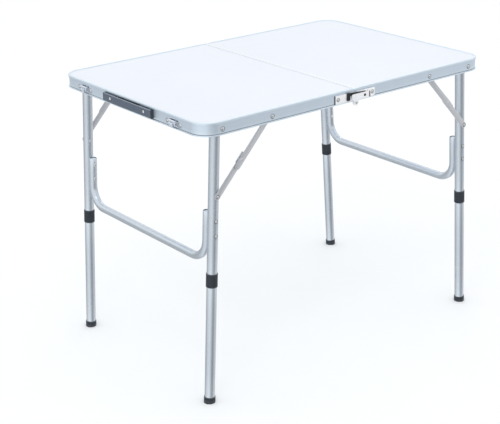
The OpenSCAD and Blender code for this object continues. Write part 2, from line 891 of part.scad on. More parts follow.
module handle_rivets() {
    half(left) color(steel_colour)
    for (s = [front, back])
        end_rivet(handle_y + s * handle_rivet_y, handle_z, rail_face_x + handle_out);
}

module latch_bases() {
    half(left) color(steel_colour)
    for (s = [front, back])
        translate([0, s * latch_y, 0]) latch_base();
}

module latch_pins() {
    half(left) color(steel_colour)
    for (s = [front, back])
        translate([0, s * latch_y, 0])
            y_bar(latch_pin_x, latch_pin_z, latch_pin_r, -lug_y - lug_t, lug_y + lug_t);
}

module latch_rivets() {
    half(left) color(steel_colour)
    for (s = [front, back], t = [front, back])
        end_rivet(s * latch_y + t * latch_rivet_y, latch_z, rail_face_x + latch_plate_t);
}

module right_rail() {
    half(right) color(rail_colour)
    rail() {
        for (s = [front, back], t = [front, back])
            end_hole(s * latch_y + t * keeper_rivet_y, latch_z);
    }
}

module right_panel() {
    half(right) color(panel_colour) panel();
}

module right_fold_strip() {
    half(right) color(rail_colour) fold_strip();
}

module right_hinge_plates() {
    half(right) color(steel_colour) both_edges() right_hinge_plate();
}

module right_plate_rivets() {
    half(right) color(steel_colour) plate_rivets();
}

module right_leg_pivots() {
    half(right) color(steel_colour) leg_pivots();
}

module right_brace_pivots() {
    half(right) color(steel_colour) brace_pivots();
}

module latch_keepers() {
    half(right) color(steel_colour)
    for (s = [front, back])
        translate([0, s * latch_y, 0]) keeper();
}

module keeper_rivets() {
    half(right) color(steel_colour)
    for (s = [front, back], t = [front, back])
        end_rivet(s * latch_y + t * keeper_rivet_y, latch_z, rail_face_x + keeper_t);
}

module hook_pivots() {
    half(right) color(steel_colour) both_edges() hook_pivot();
}

module front_lock_hook() {
    edge(front) color(black_colour) lock_hook();
}

module back_lock_hook() {
    edge(back) color(black_colour) lock_hook();
}

module front_latch_lever() {
    half(left) edge(front) color(steel_colour) translate([0, latch_y, 0]) latch_lever();
}

module back_latch_lever() {
    half(left) edge(back) color(steel_colour) translate([0, latch_y, 0]) latch_lever();
}

module front_latch_claw() {
    half(left) edge(front) color(steel_colour) translate([0, latch_y, 0]) latch_claw();
}

module back_latch_claw() {
    half(left) edge(back) color(steel_colour) translate([0, latch_y, 0]) latch_claw();
}

module left_legs() {
    half(left) color(tube_colour) both_edges() upper_leg();
}

module left_cross_bar() {
    half(left) color(tube_colour) cross_bar();
}

module left_collars() {
    half(left) color(black_colour) both_edges() collar();
}

module left_bar_rivets() {
    half(left) color(steel_colour) bar_rivets();
}

module left_bar_plugs() {
    half(left) color(black_colour) bar_plugs();
}

module left_brace_rivets() {
    half(left) color(steel_colour) brace_rivets();
}

module right_legs() {
    half(right) color(tube_colour) both_edges() upper_leg();
}

module right_cross_bar() {
    half(right) color(tube_colour) cross_bar();
}

module right_collars() {
    half(right) color(black_colour) both_edges() collar();
}

module right_bar_rivets() {
    half(right) color(steel_colour) bar_rivets();
}

module right_bar_plugs() {
    half(right) color(black_colour) bar_plugs();
}

module right_brace_rivets() {
    half(right) color(steel_colour) brace_rivets();
}

module left_front_lower_leg() {
    half(left) edge(front) color(tube_colour) lower_leg();
}

module left_front_foot() {
    half(left) edge(front) color(black_colour) foot();
}

module left_back_lower_leg() {
    half(left) edge(back) color(tube_colour) lower_leg();
}

module left_back_foot() {
    half(left) edge(back) color(black_colour) foot();
}

module right_front_lower_leg() {
    half(right) edge(front) color(tube_colour) lower_leg();
}

module right_front_foot() {
    half(right) edge(front) color(black_colour) foot();
}

module right_back_lower_leg() {
    half(right) edge(back) color(tube_colour) lower_leg();
}

module right_back_foot() {
    half(right) edge(back) color(black_colour) foot();
}

module left_front_upper_link() {
    half(left) edge(front) color(rail_colour) upper_link();
}

module left_front_lower_link() {
    half(left) edge(front) color(rail_colour) lower_link();
}

module left_back_upper_link() {
    half(left) edge(back) color(rail_colour) upper_link();
}

module left_back_lower_link() {
    half(left) edge(back) color(rail_colour) lower_link();
}

module right_front_upper_link() {
    half(right) edge(front) color(rail_colour) upper_link();
}

module right_front_lower_link() {
    half(right) edge(front) color(rail_colour) lower_link();
}

module right_back_upper_link() {
    half(right) edge(back) color(rail_colour) upper_link();
}

module right_back_lower_link() {
    half(right) edge(back) color(rail_colour) lower_link();
}

left_rail();
left_panel();
left_fold_strip();
left_hinge_plates();
left_plate_rivets();
left_leg_pivots();
left_brace_pivots();
fold_pins();
carry_handle();
handle_rivets();
latch_bases();
latch_pins();
latch_rivets();
right_rail();
right_panel();
right_fold_strip();
right_hinge_plates();
right_plate_rivets();
right_leg_pivots();
right_brace_pivots();
latch_keepers();
keeper_rivets();
hook_pivots();
front_lock_hook();
back_lock_hook();
front_latch_lever();
back_latch_lever();
front_latch_claw();
back_latch_claw();
left_legs();
left_cross_bar();
left_collars();
left_bar_rivets();
left_bar_plugs();
left_brace_rivets();
right_legs();
right_cross_bar();
right_collars();
right_bar_rivets();
right_bar_plugs();
right_brace_rivets();
left_front_lower_leg();
left_front_foot();
left_back_lower_leg();
left_back_foot();
right_front_lower_leg();
right_front_foot();
right_back_lower_leg();
right_back_foot();
left_front_upper_link();
left_front_lower_link();
left_back_upper_link();
left_back_lower_link();
right_front_upper_link();
right_front_lower_link();
right_back_upper_link();
right_back_lower_link();
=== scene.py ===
"""Looks of the folding table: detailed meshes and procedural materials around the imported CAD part.

Lengths are in millimetres until a shape becomes an object. Each half is described outward from
the fold line, with +X away from it and +Y towards the back edge, and then mirrored into place.
"""

import math

import bmesh
import bpy
from mathutils import Matrix, Vector


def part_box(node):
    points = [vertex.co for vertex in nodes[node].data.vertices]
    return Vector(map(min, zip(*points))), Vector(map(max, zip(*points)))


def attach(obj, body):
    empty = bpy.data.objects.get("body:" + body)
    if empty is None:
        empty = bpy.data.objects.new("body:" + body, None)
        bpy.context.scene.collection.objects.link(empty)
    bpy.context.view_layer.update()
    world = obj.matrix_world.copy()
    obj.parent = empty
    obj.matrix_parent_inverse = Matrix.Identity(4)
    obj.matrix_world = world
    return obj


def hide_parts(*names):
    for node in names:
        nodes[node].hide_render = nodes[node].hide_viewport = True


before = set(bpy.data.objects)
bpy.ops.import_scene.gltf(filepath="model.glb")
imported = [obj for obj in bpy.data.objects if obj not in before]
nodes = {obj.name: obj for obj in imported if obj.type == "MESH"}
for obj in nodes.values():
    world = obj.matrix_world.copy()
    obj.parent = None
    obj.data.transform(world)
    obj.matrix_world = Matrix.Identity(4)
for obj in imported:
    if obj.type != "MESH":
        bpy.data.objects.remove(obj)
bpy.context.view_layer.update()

MM = 0.001
GAP = 0.05
QUARTER = math.pi / 2
AXIS = 0.02  # radius at which a solid lathe profile ends, close to its axis
SIDES = {"left": -1, "right": 1}
EDGES = {"front": -1, "back": 1}

# ---------------------------------------------------------------- sizes, as in the CAD
rail_lo, rail_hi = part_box("right_rail")
HALF_L = rail_hi.x / MM
HALF_W = rail_hi.y / MM
TOP = rail_hi.z / MM
RAIL_FOOT = rail_lo.z / MM
RAIL_H = TOP - RAIL_FOOT
HALF_START = rail_lo.x / MM
CORNER_R = 48
FACE_D = 2
WALL_D = 3.5
FACE_Y = HALF_W - FACE_D
WALL_Y = HALF_W - WALL_D
FACE_X = HALF_L - FACE_D
WALL_X = HALF_L - WALL_D
EAR_NOTCH = 10.5

LEG_PIVOT_X = HALF_L - 55.5
BRACE_RAIL_X = LEG_PIVOT_X - 141.5
PIVOT_Z = TOP - 18.5
SPLAY = math.radians(3.3)
LEG_Y = HALF_W - 32
LEG_R = 12.5
TUBE_WALL = 1.2
LEG_HEAD = 5.5
UPPER_LEG = 382
LEG_OUT_Y = LEG_Y + LEG_R
LEG_IN_Y = LEG_Y - LEG_R
BAR_R = 10
BAR_Y = LEG_IN_Y - BAR_R - 0.1
BAR_DROP = 328
BAR_TOP = 204
BAR_BEND = 52
BAR_RIVETS = (222, 258)
COLLAR_R = 14
COLLAR_TOP = 351
COLLAR_FOOT = 384
LOWER_TOP = 384.4
PLUG_L = 60
PLUG_R = 11.2
FLOOR_DROP = PIVOT_Z / math.cos(SPLAY)
FOOT_H = 15
SOLE = 4.1

BRACE_DROP = 161.8
BRACE_LEG_X = LEG_PIVOT_X + BRACE_DROP * math.sin(SPLAY)
BRACE_LEG_Z = PIVOT_Z - BRACE_DROP * math.cos(SPLAY)
BRACE_ANGLE = math.atan2(BRACE_LEG_Z - PIVOT_Z, BRACE_LEG_X - BRACE_RAIL_X)
BRACE_REACH = math.hypot(BRACE_LEG_X - BRACE_RAIL_X, BRACE_LEG_Z - PIVOT_Z)
UPPER_LINK = 120.65
LOWER_LINK = BRACE_REACH - UPPER_LINK
LINK_TAIL = 25
LINK_R = 7.5
LINK_T = 1.8
LOWER_LINK_Y = LEG_OUT_Y + 1.9
UPPER_LINK_Y = LOWER_LINK_Y + LINK_T + 1.9
GUIDE_W = 10.25

PLATE_Y = FACE_Y + 0.3
PLATE_T = 1.5
PLATE_OUT = PLATE_Y + PLATE_T
PLATE_TOP = TOP - 8.5
PLATE_FOOT = PLATE_TOP - 20.5
PLATE_X0 = 2
PLATE_X1 = 63
HOOK_Y = HALF_W + 0.4
HOOK_T = 1.8
COVER_Y = HOOK_Y + HOOK_T + 0.4
COVER_OUT = COVER_Y + PLATE_T
COVER_TOP = PLATE_TOP - 4.5
COVER_REACH = 14
COVER_X1 = 47
FOLD_Z = TOP - 34.5
EAR_R = 8
EAR_CLEAR = 1.5
PLATE_RIVET_X = 55
FLUSH_RIVET_X = 12
PLATE_RIVET_Z = PLATE_TOP - 10.25
HOOK_PIVOT_X = 27
HOOK_PIVOT_Z = TOP - 20.5
HOOK_TOP = TOP - 7.2
HOOK_FOOT = TOP - 27
HOOK_END_X = HOOK_PIVOT_X - 56
HOOK_TAPER = 4.5
HOOK_BAR_H = 8
SHADOW_STRIP_W = 3
RIVET_R = 3.75
PIVOT_HEAD_R = 4.5
HEAD_H = 1.5
SHADE_RIM = 1.2
RIVET_SHANK = 2
RIVET_HOLE = 2.05
ROUND = 28

HANDLE_Z = TOP - 16
HANDLE_Y = -7
HANDLE_HALF = 101.5
HANDLE_OUT = 8.5
HANDLE_H = 20
HANDLE_CAP = 1.4
GRIP_HALF = 52
GRIP_GAP = 6.5
HANDLE_RIVET_Y = 71
LATCH_Y = 188
LATCH_Z = TOP - 17.5
LATCH_HALF = 31
LATCH_H = 17
LATCH_OUT = FACE_X + 1.2
LATCH_RIVET_Y = 25
LATCH_PIN_X = FACE_X + 4.6
LATCH_PIN_Z = LATCH_Z + 4
CLAW_PIN_X = LATCH_PIN_X + 4.2
CLAW_PIN_Z = LATCH_PIN_Z - 5
LUG_Y = 12.5
LEVER_HALF = 11.5
CLAW_HALF = 6
KEEPER_HALF = 20
KEEPER_LIP_HALF = 12
KEEPER_RIVET_Y = 16


# ---------------------------------------------------------------- places
def on_half(side, edge=1):
    """A point of the half, outward and back, to the row frame."""
    return lambda p: Vector((side * p[0], edge * p[1], p[2]))


def on_leg(side, edge=1):
    """A point of the leg frame, its pivot at the origin and the leg down -Z, to the row frame."""
    c, s = math.cos(SPLAY), math.sin(SPLAY)
    to_row = on_half(side, edge)
    return lambda p: to_row(
        (LEG_PIVOT_X + p[0] * c - p[2] * s, p[1], PIVOT_Z + p[0] * s + p[2] * c)
    )


def on_link(side, edge, x, z, turn):
    """A point of a link, its pivot at the origin and the link along +X, to the row frame."""
    c, s = math.cos(turn), math.sin(turn)
    to_row = on_half(side, edge)
    return lambda p: to_row((x + p[0] * c - p[2] * s, p[1], z + p[0] * s + p[2] * c))


def on_end(side, y):
    """A point of a fitting on the rail's end, centred on its own Y, to the row frame."""
    return lambda p: Vector((side * p[0], y + p[1], p[2]))


# ---------------------------------------------------------------- shapes
class Shape:
    """Points in millimetres with faces, and a UV pair in metres for each corner of a face.

    A tint of 1 gives faces the shape's second material.
    """

    def __init__(self):
        self.points, self.faces, self.uvs, self.tints = [], [], [], []

    def add(self, points, faces, uvs, place, tint=0):
        base = len(self.points)
        self.tints += [tint] * len(faces)
        self.points += [place(p) for p in points]
        self.faces += [[base + i for i in f] for f in faces]
        self.uvs += uvs
        return self

    def tube(self, rings, place, wrap=False, tint=0):
        """Quads between closed rings of points, capped at both ends unless the last meets the first."""
        count = len(rings[0])
        points = [p for ring in rings for p in ring]
        along, around = [0.0], [0.0]
        for a, b in zip(rings, rings[1:] + rings[:1]):
            along.append(along[-1] + (Vector(a[0]) - Vector(b[0])).length * MM)
        widest = max(rings, key=lambda r: (Vector(r[0]) - Vector(r[count // 2])).length)
        for a, b in zip(widest, widest[1:] + widest[:1]):
            around.append(around[-1] + (Vector(a) - Vector(b)).length * MM)
        faces, uvs = [], []
        for i in range(len(rings) if wrap else len(rings) - 1):
            n = (i + 1) % len(rings)
            for j in range(count):
                k = (j + 1) % count
                faces.append([i * count + j, i * count + k, n * count + k, n * count + j])
                (u0, u1), (v0, v1) = along[i : i + 2], around[j : j + 2]
                uvs.append([(u0, v0), (u0, v1), (u1, v1), (u1, v0)])
        if not wrap:
            for ring, u in ((0, 0), (len(rings) - 1, along[len(rings) - 1])):
                faces.append([ring * count + j for j in range(count)])
                uvs.append([(u, around[j]) for j in range(count)])
        return self.add(points, faces, uvs, place, tint)

    def lathe(self, profile, centre, axis, place, wrap=False, segments=40, tint=0):
        """A profile of (radius, height) pairs turned round an axis that passes through centre."""
        rings = []
        for r, h in profile:
            ring = []
            for j in range(segments):
                turn = 2 * math.pi * j / segments
                a, b = r * math.cos(turn), r * math.sin(turn)
                offset = {"x": (h, a, b), "y": (a, h, b), "z": (a, b, h)}[axis]
                ring.append([c + o for c, o in zip(centre, offset)])
            rings.append(ring)
        return self.tube(rings, place, wrap, tint)

    def slab(self, outline, low, high, to_xyz, place, holes=(), bevel=0.3, segments=2, tint=0):
        """A plate with the given outline and round holes, from low to high, its edges rounded."""
        bm = bmesh.new()
        loops = [outline] + [circle(x, y, r, 24) for x, y, r in holes]
        edges = []
        for loop in loops:
            ring = [bm.verts.new((x, y, low)) for x, y in loop]
            edges += [bm.edges.new((a, b)) for a, b in zip(ring, ring[1:] + ring[:1])]
        bmesh.ops.triangle_fill(bm, use_beauty=True, use_dissolve=False, edges=edges)
        made = bmesh.ops.extrude_face_region(bm, geom=bm.faces[:])
        lifted = [v for v in made["geom"] if isinstance(v, bmesh.types.BMVert)]
        for v in lifted:
            v.co.z = high
        bmesh.ops.recalc_face_normals(bm, faces=bm.faces[:])
        rims = [
            e
            for e in bm.edges
            if len(e.link_faces) == 2
            and e.calc_face_angle(0) > math.radians(60)
            and abs(e.verts[0].co.z - e.verts[1].co.z) < 1e-6
        ]
        kind = {"profile": 0.5, "affect": "EDGES", "clamp_overlap": True}
        bmesh.ops.bevel(bm, geom=rims, offset=bevel, segments=segments, **kind)
        bm.verts.index_update()
        points = [to_xyz(*v.co) for v in bm.verts]
        faces = [[v.index for v in f.verts] for f in bm.faces]
        uvs = [[(v.co.x * MM, v.co.y * MM) for v in f.verts] for f in bm.faces]
        bm.free()
        return self.add(points, faces, uvs, place, tint)

    def make(self, name, material, body, replaces=(), slot=None, sharp=35, second=None):
        """The shape as an object that rides on a body and stands for CAD nodes."""
        mesh = bpy.data.meshes.new(name)
        mesh.from_pydata([p * MM for p in self.points], [], self.faces)
        layer = mesh.uv_layers.new(name="UVMap")
        layer.data.foreach_set("uv", [c for face in self.uvs for uv in face for c in uv])
        bm = bmesh.new()
        bm.from_mesh(mesh)
        bmesh.ops.recalc_face_normals(bm, faces=bm.faces[:])
        bm.to_mesh(mesh)
        bm.free()
        mesh.shade_smooth()
        mesh.set_sharp_from_angle(angle=math.radians(sharp))
        mesh.materials.append(material)
        if any(self.tints):
            mesh.materials.append(second or dark_steel)
            mesh.polygons.foreach_set("material_index", self.tints)
        piece = bpy.data.objects.new(name, mesh)
        bpy.context.scene.collection.objects.link(piece)
        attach(piece, body)
        if replaces:
            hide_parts(*replaces)
        return piece


def circle(x, y, r, count=32):
    steps = [2 * math.pi * i / count for i in range(count)]
    return [(x + r * math.cos(a), y + r * math.sin(a)) for a in steps]


def arc(x, y, r, first, last, steps):
    """Points round x, y at radius r, from angle first to angle last in radians."""
    turns = [first + (last - first) * i / steps for i in range(steps + 1)]
    return [(x + r * math.cos(a), y + r * math.sin(a)) for a in turns]


def rounded_box(x0, y0, x1, y1, radius):
    """Outline of a box with rounded corners; radius is one number, or one per corner from x0, y0 on."""
    radii = radius if isinstance(radius, (list, tuple)) else [radius] * 4
    corners = [(x0, y0, 2), (x1, y0, 3), (x1, y1, 0), (x0, y1, 1)]
    points = []
    for (x, y, quarter), r in zip(corners, radii):
        cx, cy = x + (r if x == x0 else -r), y + (r if y == y0 else -r)
        start = quarter * QUARTER
        points += arc(cx, cy, r, start, start + QUARTER, 5) if r else [(x, y)]
    return points


def capsule(x0, x1, r):
    """Outline of a bar with half-round ends, centred on x0 and x1."""
    return arc(x1, 0, r, -QUARTER, QUARTER, 20) + arc(x0, 0, r, QUARTER, 3 * QUARTER, 20)


def upright(a, b, t):
    """Slab coordinates for a plate that stands on a long edge: a is X, b is Z, t is Y."""
    return (a, t, b)


def endways(a, b, t):
    """Slab coordinates for a plate on the rail's end: a is Y, b is Z, t is X."""
    return (t, a, b)


def flat(a, b, t):
    """Slab coordinates for a level plate: a is X, b is Y, t is Z."""
    return (a, b, t)


def dome(r, start, height):
    """Profile of a rivet head from its rim, at start, outward along the axis."""
    steps, rim = 6, 0.16
    points = [(r * 0.97, start), (r, start + height * rim)]
    for i in range(1, steps):
        a = math.pi / 2 * i / steps
        rise = rim + (1 - rim) * math.sin(a)
        points.append((r * math.cos(a) * 0.97 + AXIS, start + height * rise))
    return points + [(AXIS, start + height)]


def rivet(shape, centre, axis, place, inner, outer, shank, head):
    """A rivet along an axis: a flat set end at inner, a shank, and a domed head that starts at outer.

    The head stands on a thin ring that reaches a little past its rim, in the second material: painted shade
    round the head.
    """
    profile = [(AXIS, inner - 1), (head - 0.5, inner - 1), (head, inner - 0.6)]
    profile += [(head, inner), (shank, inner), (shank, outer)]
    shape.lathe(profile + dome(head, outer, HEAD_H), centre, axis, place, segments=ROUND)
    # A thin dark ring under the head's rim: painted shade, as if cast by the head.
    shade_ring = [(head - 0.6, outer - 0.02), (head + SHADE_RIM, outer - 0.02), (head + SHADE_RIM, outer + 0.12)]
    shape.lathe(shade_ring + [(head - 0.6, outer + 0.12)], centre, axis, place, wrap=True, segments=ROUND, tint=1)


# ---------------------------------------------------------------- materials
def node_tree(name):
    material = bpy.data.materials.new(name)
    material.use_nodes = True
    tree = material.node_tree
    return material, tree, tree.nodes["Principled BSDF"]


def noise(tree, coordinates, scale, stretch=(1, 1, 1), turn=(0, 0, 0), detail=4, roughness=0.55):
    mapping = tree.nodes.new("ShaderNodeMapping")
    mapping.inputs["Scale"].default_value = stretch
    mapping.inputs["Rotation"].default_value = turn
    texture = tree.nodes.new("ShaderNodeTexNoise")
    texture.inputs["Scale"].default_value = scale
    texture.inputs["Detail"].default_value = detail
    texture.inputs["Roughness"].default_value = roughness
    tree.links.new(coordinates, mapping.inputs["Vector"])
    tree.links.new(mapping.outputs["Vector"], texture.inputs["Vector"])
    return texture.outputs["Fac"]


def ramp(tree, value, stops, smooth=False):
    node = tree.nodes.new("ShaderNodeValToRGB")
    if smooth:
        node.color_ramp.interpolation = "EASE"
    elements = node.color_ramp.elements
    while len(elements) < len(stops):
        elements.new(0.5)
    for element, (position, colour) in zip(elements, stops):
        element.position = position
        element.color = (*colour, 1)
    tree.links.new(value, node.inputs["Fac"])
    return node.outputs["Color"]


def spread(tree, value, low, high):
    """value, from 0 to 1, stretched to low to high."""
    node = tree.nodes.new("ShaderNodeMapRange")
    node.inputs["From Min"].default_value = 0.25
    node.inputs["From Max"].default_value = 0.75
    node.inputs["To Min"].default_value = low
    node.inputs["To Max"].default_value = high
    tree.links.new(value, node.inputs["Value"])
    return node.outputs["Result"]


def mixed(tree, amount, a, b):
    node = tree.nodes.new("ShaderNodeMix")
    node.data_type = "RGBA"
    for socket, value in (("Factor", amount), ("A", a), ("B", b)):
        target = [s for s in node.inputs if s.name == socket and s.enabled][0]
        if isinstance(value, bpy.types.NodeSocket):
            tree.links.new(value, target)
        else:
            target.default_value = value if socket == "Factor" else (*value, 1)
    return [s for s in node.outputs if s.enabled][0]


def bump(tree, shader, height, strength, distance, under=None):
    node = tree.nodes.new("ShaderNodeBump")
    node.inputs["Strength"].default_value = strength
    node.inputs["Distance"].default_value = distance
    tree.links.new(height, node.inputs["Height"])
    if under is not None:
        tree.links.new(under, node.inputs["Normal"])
    tree.links.new(node.outputs["Normal"], shader.inputs["Normal"])
    return node.outputs["Normal"]


def worn(tree, colour, bright, low=0.505, high=0.56):
    """Colour, turned to bright where the surface is an outward edge."""
    geometry = tree.nodes.new("ShaderNodeNewGeometry")
    edge = ramp(tree, geometry.outputs["Pointiness"], [(low, (0, 0, 0)), (high, (1, 1, 1))])
    return mixed(tree, edge, colour, bright)


def brushed(name, dark, light, rough, metallic, grain=(3, 900), streaks=0.12, coordinates="UV"):
    """Drawn metal: fine lines along its length, soft cloudy tone and rubbed edges."""
    material, tree, shader = node_tree(name)
    where = tree.nodes.new("ShaderNodeTexCoord").outputs[coordinates]
    place = tree.nodes.new("ShaderNodeTexCoord").outputs["Object"]
    lines = noise(tree, where, 1, (grain[0], grain[1], grain[1]), detail=3)
    broad = noise(tree, where, 1, (grain[0] * 0.4, grain[1] * 0.15, grain[1] * 0.15), detail=2)
    clouds = noise(tree, place, 7, detail=3)
    marks = noise(tree, place, 240, detail=2, roughness=0.7)
    tone = mixed(tree, spread(tree, clouds, 0, 1), dark, light)
    tone = mixed(tree, spread(tree, lines, 0, 2 * streaks), tone, tuple(c * 0.8 for c in dark))
    tone = mixed(tree, spread(tree, broad, 0, streaks), tone, light)
    tone = worn(tree, tone, tuple(min(1, c * 1.1) for c in light))
    tree.links.new(tone, shader.inputs["Base Color"])
    shader.inputs["Metallic"].default_value = metallic
    shader.inputs["Anisotropic"].default_value = 0.3
    uneven = tree.nodes.new("ShaderNodeMath")
    uneven.operation = "ADD"
    tree.links.new(spread(tree, clouds, rough - 0.04, rough + 0.04), uneven.inputs[0])
    tree.links.new(spread(tree, marks, -0.01, 0.02), uneven.inputs[1])
    tree.links.new(uneven.outputs[0], shader.inputs["Roughness"])
    first = bump(tree, shader, lines, 0.2, 0.000012)
    bump(tree, shader, marks, 0.05, 0.00001, first)
    return material


def plated(name, dark, light, rough, metallic):
    """Zinc-plated or blackened steel: a faint crystal mottle, fine scratches and rubbed edges."""
    material, tree, shader = node_tree(name)
    place = tree.nodes.new("ShaderNodeTexCoord").outputs["Object"]
    mottle = noise(tree, place, 110, detail=4, roughness=0.6)
    scratch = noise(tree, place, 1, (900, 60, 60), (0.2, 0.4, 0.5), detail=2)
    tone = mixed(tree, spread(tree, mottle, 0, 1), dark, light)
    tone = mixed(tree, spread(tree, scratch, 0, 0.25), tone, light)
    tone = worn(tree, tone, tuple(min(1, c * 1.15 + 0.02) for c in light))
    tree.links.new(tone, shader.inputs["Base Color"])
    shader.inputs["Metallic"].default_value = metallic
    tree.links.new(spread(tree, mottle, rough - 0.05, rough + 0.06), shader.inputs["Roughness"])
    first = bump(tree, shader, mottle, 0.08, 0.00001)
    bump(tree, shader, scratch, 0.08, 0.00001, first)
    return material


def moulded(name, dark, light, rough, edge, edge_start=0.52):
    """Moulded plastic: a fine pebbled skin, slight fading and paler rubbed edges."""
    material, tree, shader = node_tree(name)
    place = tree.nodes.new("ShaderNodeTexCoord").outputs["Object"]
    pebble = noise(tree, place, 1500, detail=2)
    fade = noise(tree, place, 30, detail=4)
    scuffs = noise(tree, place, 1, (500, 90, 90), (0.3, 0.1, 0.6), detail=3, roughness=0.7)
    tone = mixed(tree, spread(tree, fade, 0, 1), dark, light)
    tone = mixed(tree, spread(tree, scuffs, 0, 0.22), tone, edge)
    tone = worn(tree, tone, edge, edge_start, edge_start + 0.08)
    tree.links.new(tone, shader.inputs["Base Color"])
    tree.links.new(spread(tree, fade, rough - 0.06, rough + 0.08), shader.inputs["Roughness"])
    shader.inputs["Specular IOR Level"].default_value = 0.3
    first = bump(tree, shader, pebble, 0.35, 0.00008)
    bump(tree, shader, scuffs, 0.08, 0.00005, first)
    return material


def laminate(name):
    """White laminate: a hardly visible mottle, an orange-peel skin and faint wiping marks."""
    material, tree, shader = node_tree(name)
    place = tree.nodes.new("ShaderNodeTexCoord").outputs["Object"]
    clouds = noise(tree, place, 3, detail=4)
    speckle = noise(tree, place, 700, detail=3)
    peel = noise(tree, place, 420, detail=2)
    wiping = noise(tree, place, 1, (5, 160, 5), (0, 0, 0.6), detail=4, roughness=0.6)
    tone = mixed(tree, spread(tree, clouds, 0, 1), (0.850, 0.885, 0.958), (0.880, 0.910, 0.978))
    tone = mixed(tree, spread(tree, speckle, 0, 0.3), tone, (0.83, 0.86, 0.925))
    tree.links.new(tone, shader.inputs["Base Color"])
    tree.links.new(spread(tree, wiping, 0.27, 0.36), shader.inputs["Roughness"])
    shader.inputs["Specular IOR Level"].default_value = 0.45
    first = bump(tree, shader, peel, 0.06, 0.0001)
    bump(tree, shader, wiping, 0.03, 0.0001, first)
    return material


rail_metal = brushed("rail_aluminium", (0.69, 0.79, 0.90), (0.75, 0.85, 0.95), 0.35, 0.64)
# Darker brushed metal that paints shade: on the rail's groove faces and on a patch round one latch rivet.
shade_metal = brushed("painted_shade_metal", (0.30, 0.34, 0.40), (0.42, 0.46, 0.52), 0.5, 0.5)
tube_metal = brushed("tube_aluminium", (0.62, 0.68, 0.75), (0.70, 0.76, 0.82), 0.24, 0.85)
link_metal = brushed("link_aluminium", (0.60, 0.61, 0.64), (0.70, 0.71, 0.74), 0.36, 0.7, (14, 500))
TRIM_GRAIN = {"grain": (500, 3), "coordinates": "Object"}
trim_metal = brushed("fold_trim", (0.76, 0.78, 0.81), (0.84, 0.86, 0.89), 0.4, 0.5, **TRIM_GRAIN)
zinc = plated("zinc_steel", (0.87, 0.88, 0.94), (0.91, 0.92, 0.97), 0.30, 0.3)
latch_steel = plated("latch_steel", (0.60, 0.65, 0.72), (0.68, 0.73, 0.80), 0.32, 0.6)
rivet_steel = plated("rivet_steel", (0.70, 0.73, 0.77), (0.84, 0.86, 0.90), 0.14, 1)
# Blackened steel for the lock hooks; also painted shade in the rings under rivet heads, the latch shadow
# lines and the hook pivot's dark disc.
dark_steel = plated("dark_steel", (0.010, 0.013, 0.018), (0.030, 0.035, 0.042), 0.4, 0.6)
slate_highlight = moulded("slate_highlight", (0.22, 0.26, 0.31), (0.28, 0.32, 0.38), 0.4, (0.4, 0.44, 0.5))
SLATES = ((0.040, 0.060, 0.092), (0.054, 0.078, 0.115))
slate = moulded("slate_plastic", *SLATES, 0.42, (0.13, 0.16, 0.21), 0.53)
black = moulded("black_plastic", (0.010, 0.016, 0.024), (0.020, 0.029, 0.040), 0.45, (0.09, 0.10, 0.12))
white = laminate("white_laminate")


# ---------------------------------------------------------------- rails
def rail_section(bottom_bead):
    """The rail's section as (in from the outer line, up from the foot), its beads rounded."""
    low = [(0.7, 0.1), (0.2, 0.5), (0, 1.1), (0, 1.9), (0.2, 2.5), (0.7, 2.9), (1.7, 3.0)]
    if not bottom_bead:
        low = [(FACE_D, z) for _, z in low]
    h = RAIL_H
    groove = [(FACE_D, 3.1), (FACE_D + 0.5, 3.2), (FACE_D + 0.5, 4.4), (FACE_D, 4.6)]
    if not bottom_bead:
        groove = [(FACE_D, z) for _, z in groove]
    face = [(FACE_D, 8), (FACE_D, 14), (FACE_D, 20), (FACE_D, h - 5.3)]
    top = [(1.7, h - 5.0), (0.8, h - 4.9), (0.2, h - 4.5), (0, h - 3.9), (0, h - 1.2)]
    lip = [(0.2, h - 0.5), (0.7, h - 0.1), (1.3, h), (4.9, h), (5.4, h - 0.15), (5.5, h - 0.6)]
    slot = [(5.4, h - 1.2), (WALL_D, h - 1.2), (WALL_D, h - 4.5), (8.3, h - 4.5)]
    shelf = [(8.5, h - 4.7), (8.5, h - 5.5), (8.3, h - 5.7), (WALL_D, h - 5.7)]
    foot = [(WALL_D, 1.2), (9.2, 1.2), (9.5, 1.0), (9.5, 0.2), (9.2, 0)]
    return low + groove + face + top + lip + slot + shelf + foot


# Section edges of the groove above the bottom bead, whose faces take the darker metal as painted shade.
GROOVE_SHADE_EDGES = (7, 8, 9)


def rail_stations():
    """Where the section stands along the rail: (outer line's point, inward direction, bead or not)."""
    straight = HALF_L - CORNER_R
    front = [(HALF_START, False), (EAR_NOTCH, False), (EAR_NOTCH + GAP, True)]
    front += [(straight * i / 6, True) for i in range(1, 7)]
    stations = [((x, -HALF_W), (0, 1), bead) for x, bead in front]
    steps = 20
    for i in range(1, steps + 1):
        a = math.radians(-90 + 90 * i / steps)
        c, s = math.cos(a), math.sin(a)
        point = (straight + CORNER_R * c, CORNER_R - HALF_W + CORNER_R * s)
        stations.append((point, (-c, -s), True))
    back = [((x, -y), (dx, -dy), bead) for (x, y), (dx, dy), bead in reversed(stations)]
    middle = [((HALF_L, (HALF_W - CORNER_R) * k / 2), (-1, 0), True) for k in (-1, 0, 1)]
    return stations + middle + back


def make_rail(name, side):
    rings = []
    for (x, y), (dx, dy), bead in rail_stations():
        section = rail_section(bead)
        rings.append([(x + dx * d, y + dy * d, RAIL_FOOT + z) for d, z in section])
    shape = Shape().tube(rings, on_half(side))
    count = len(rings[0])
    # The groove's faces take the second, darker metal: painted shade along the groove.
    shape.tints = [int(i % count in GROOVE_SHADE_EDGES) for i in range(len(shape.faces))]
    ride = (rail_metal, f"{name}_half", [f"{name}_rail"], "rail_aluminium")
    shape.make(f"{name}_rail_profile", *ride, 28, shade_metal)


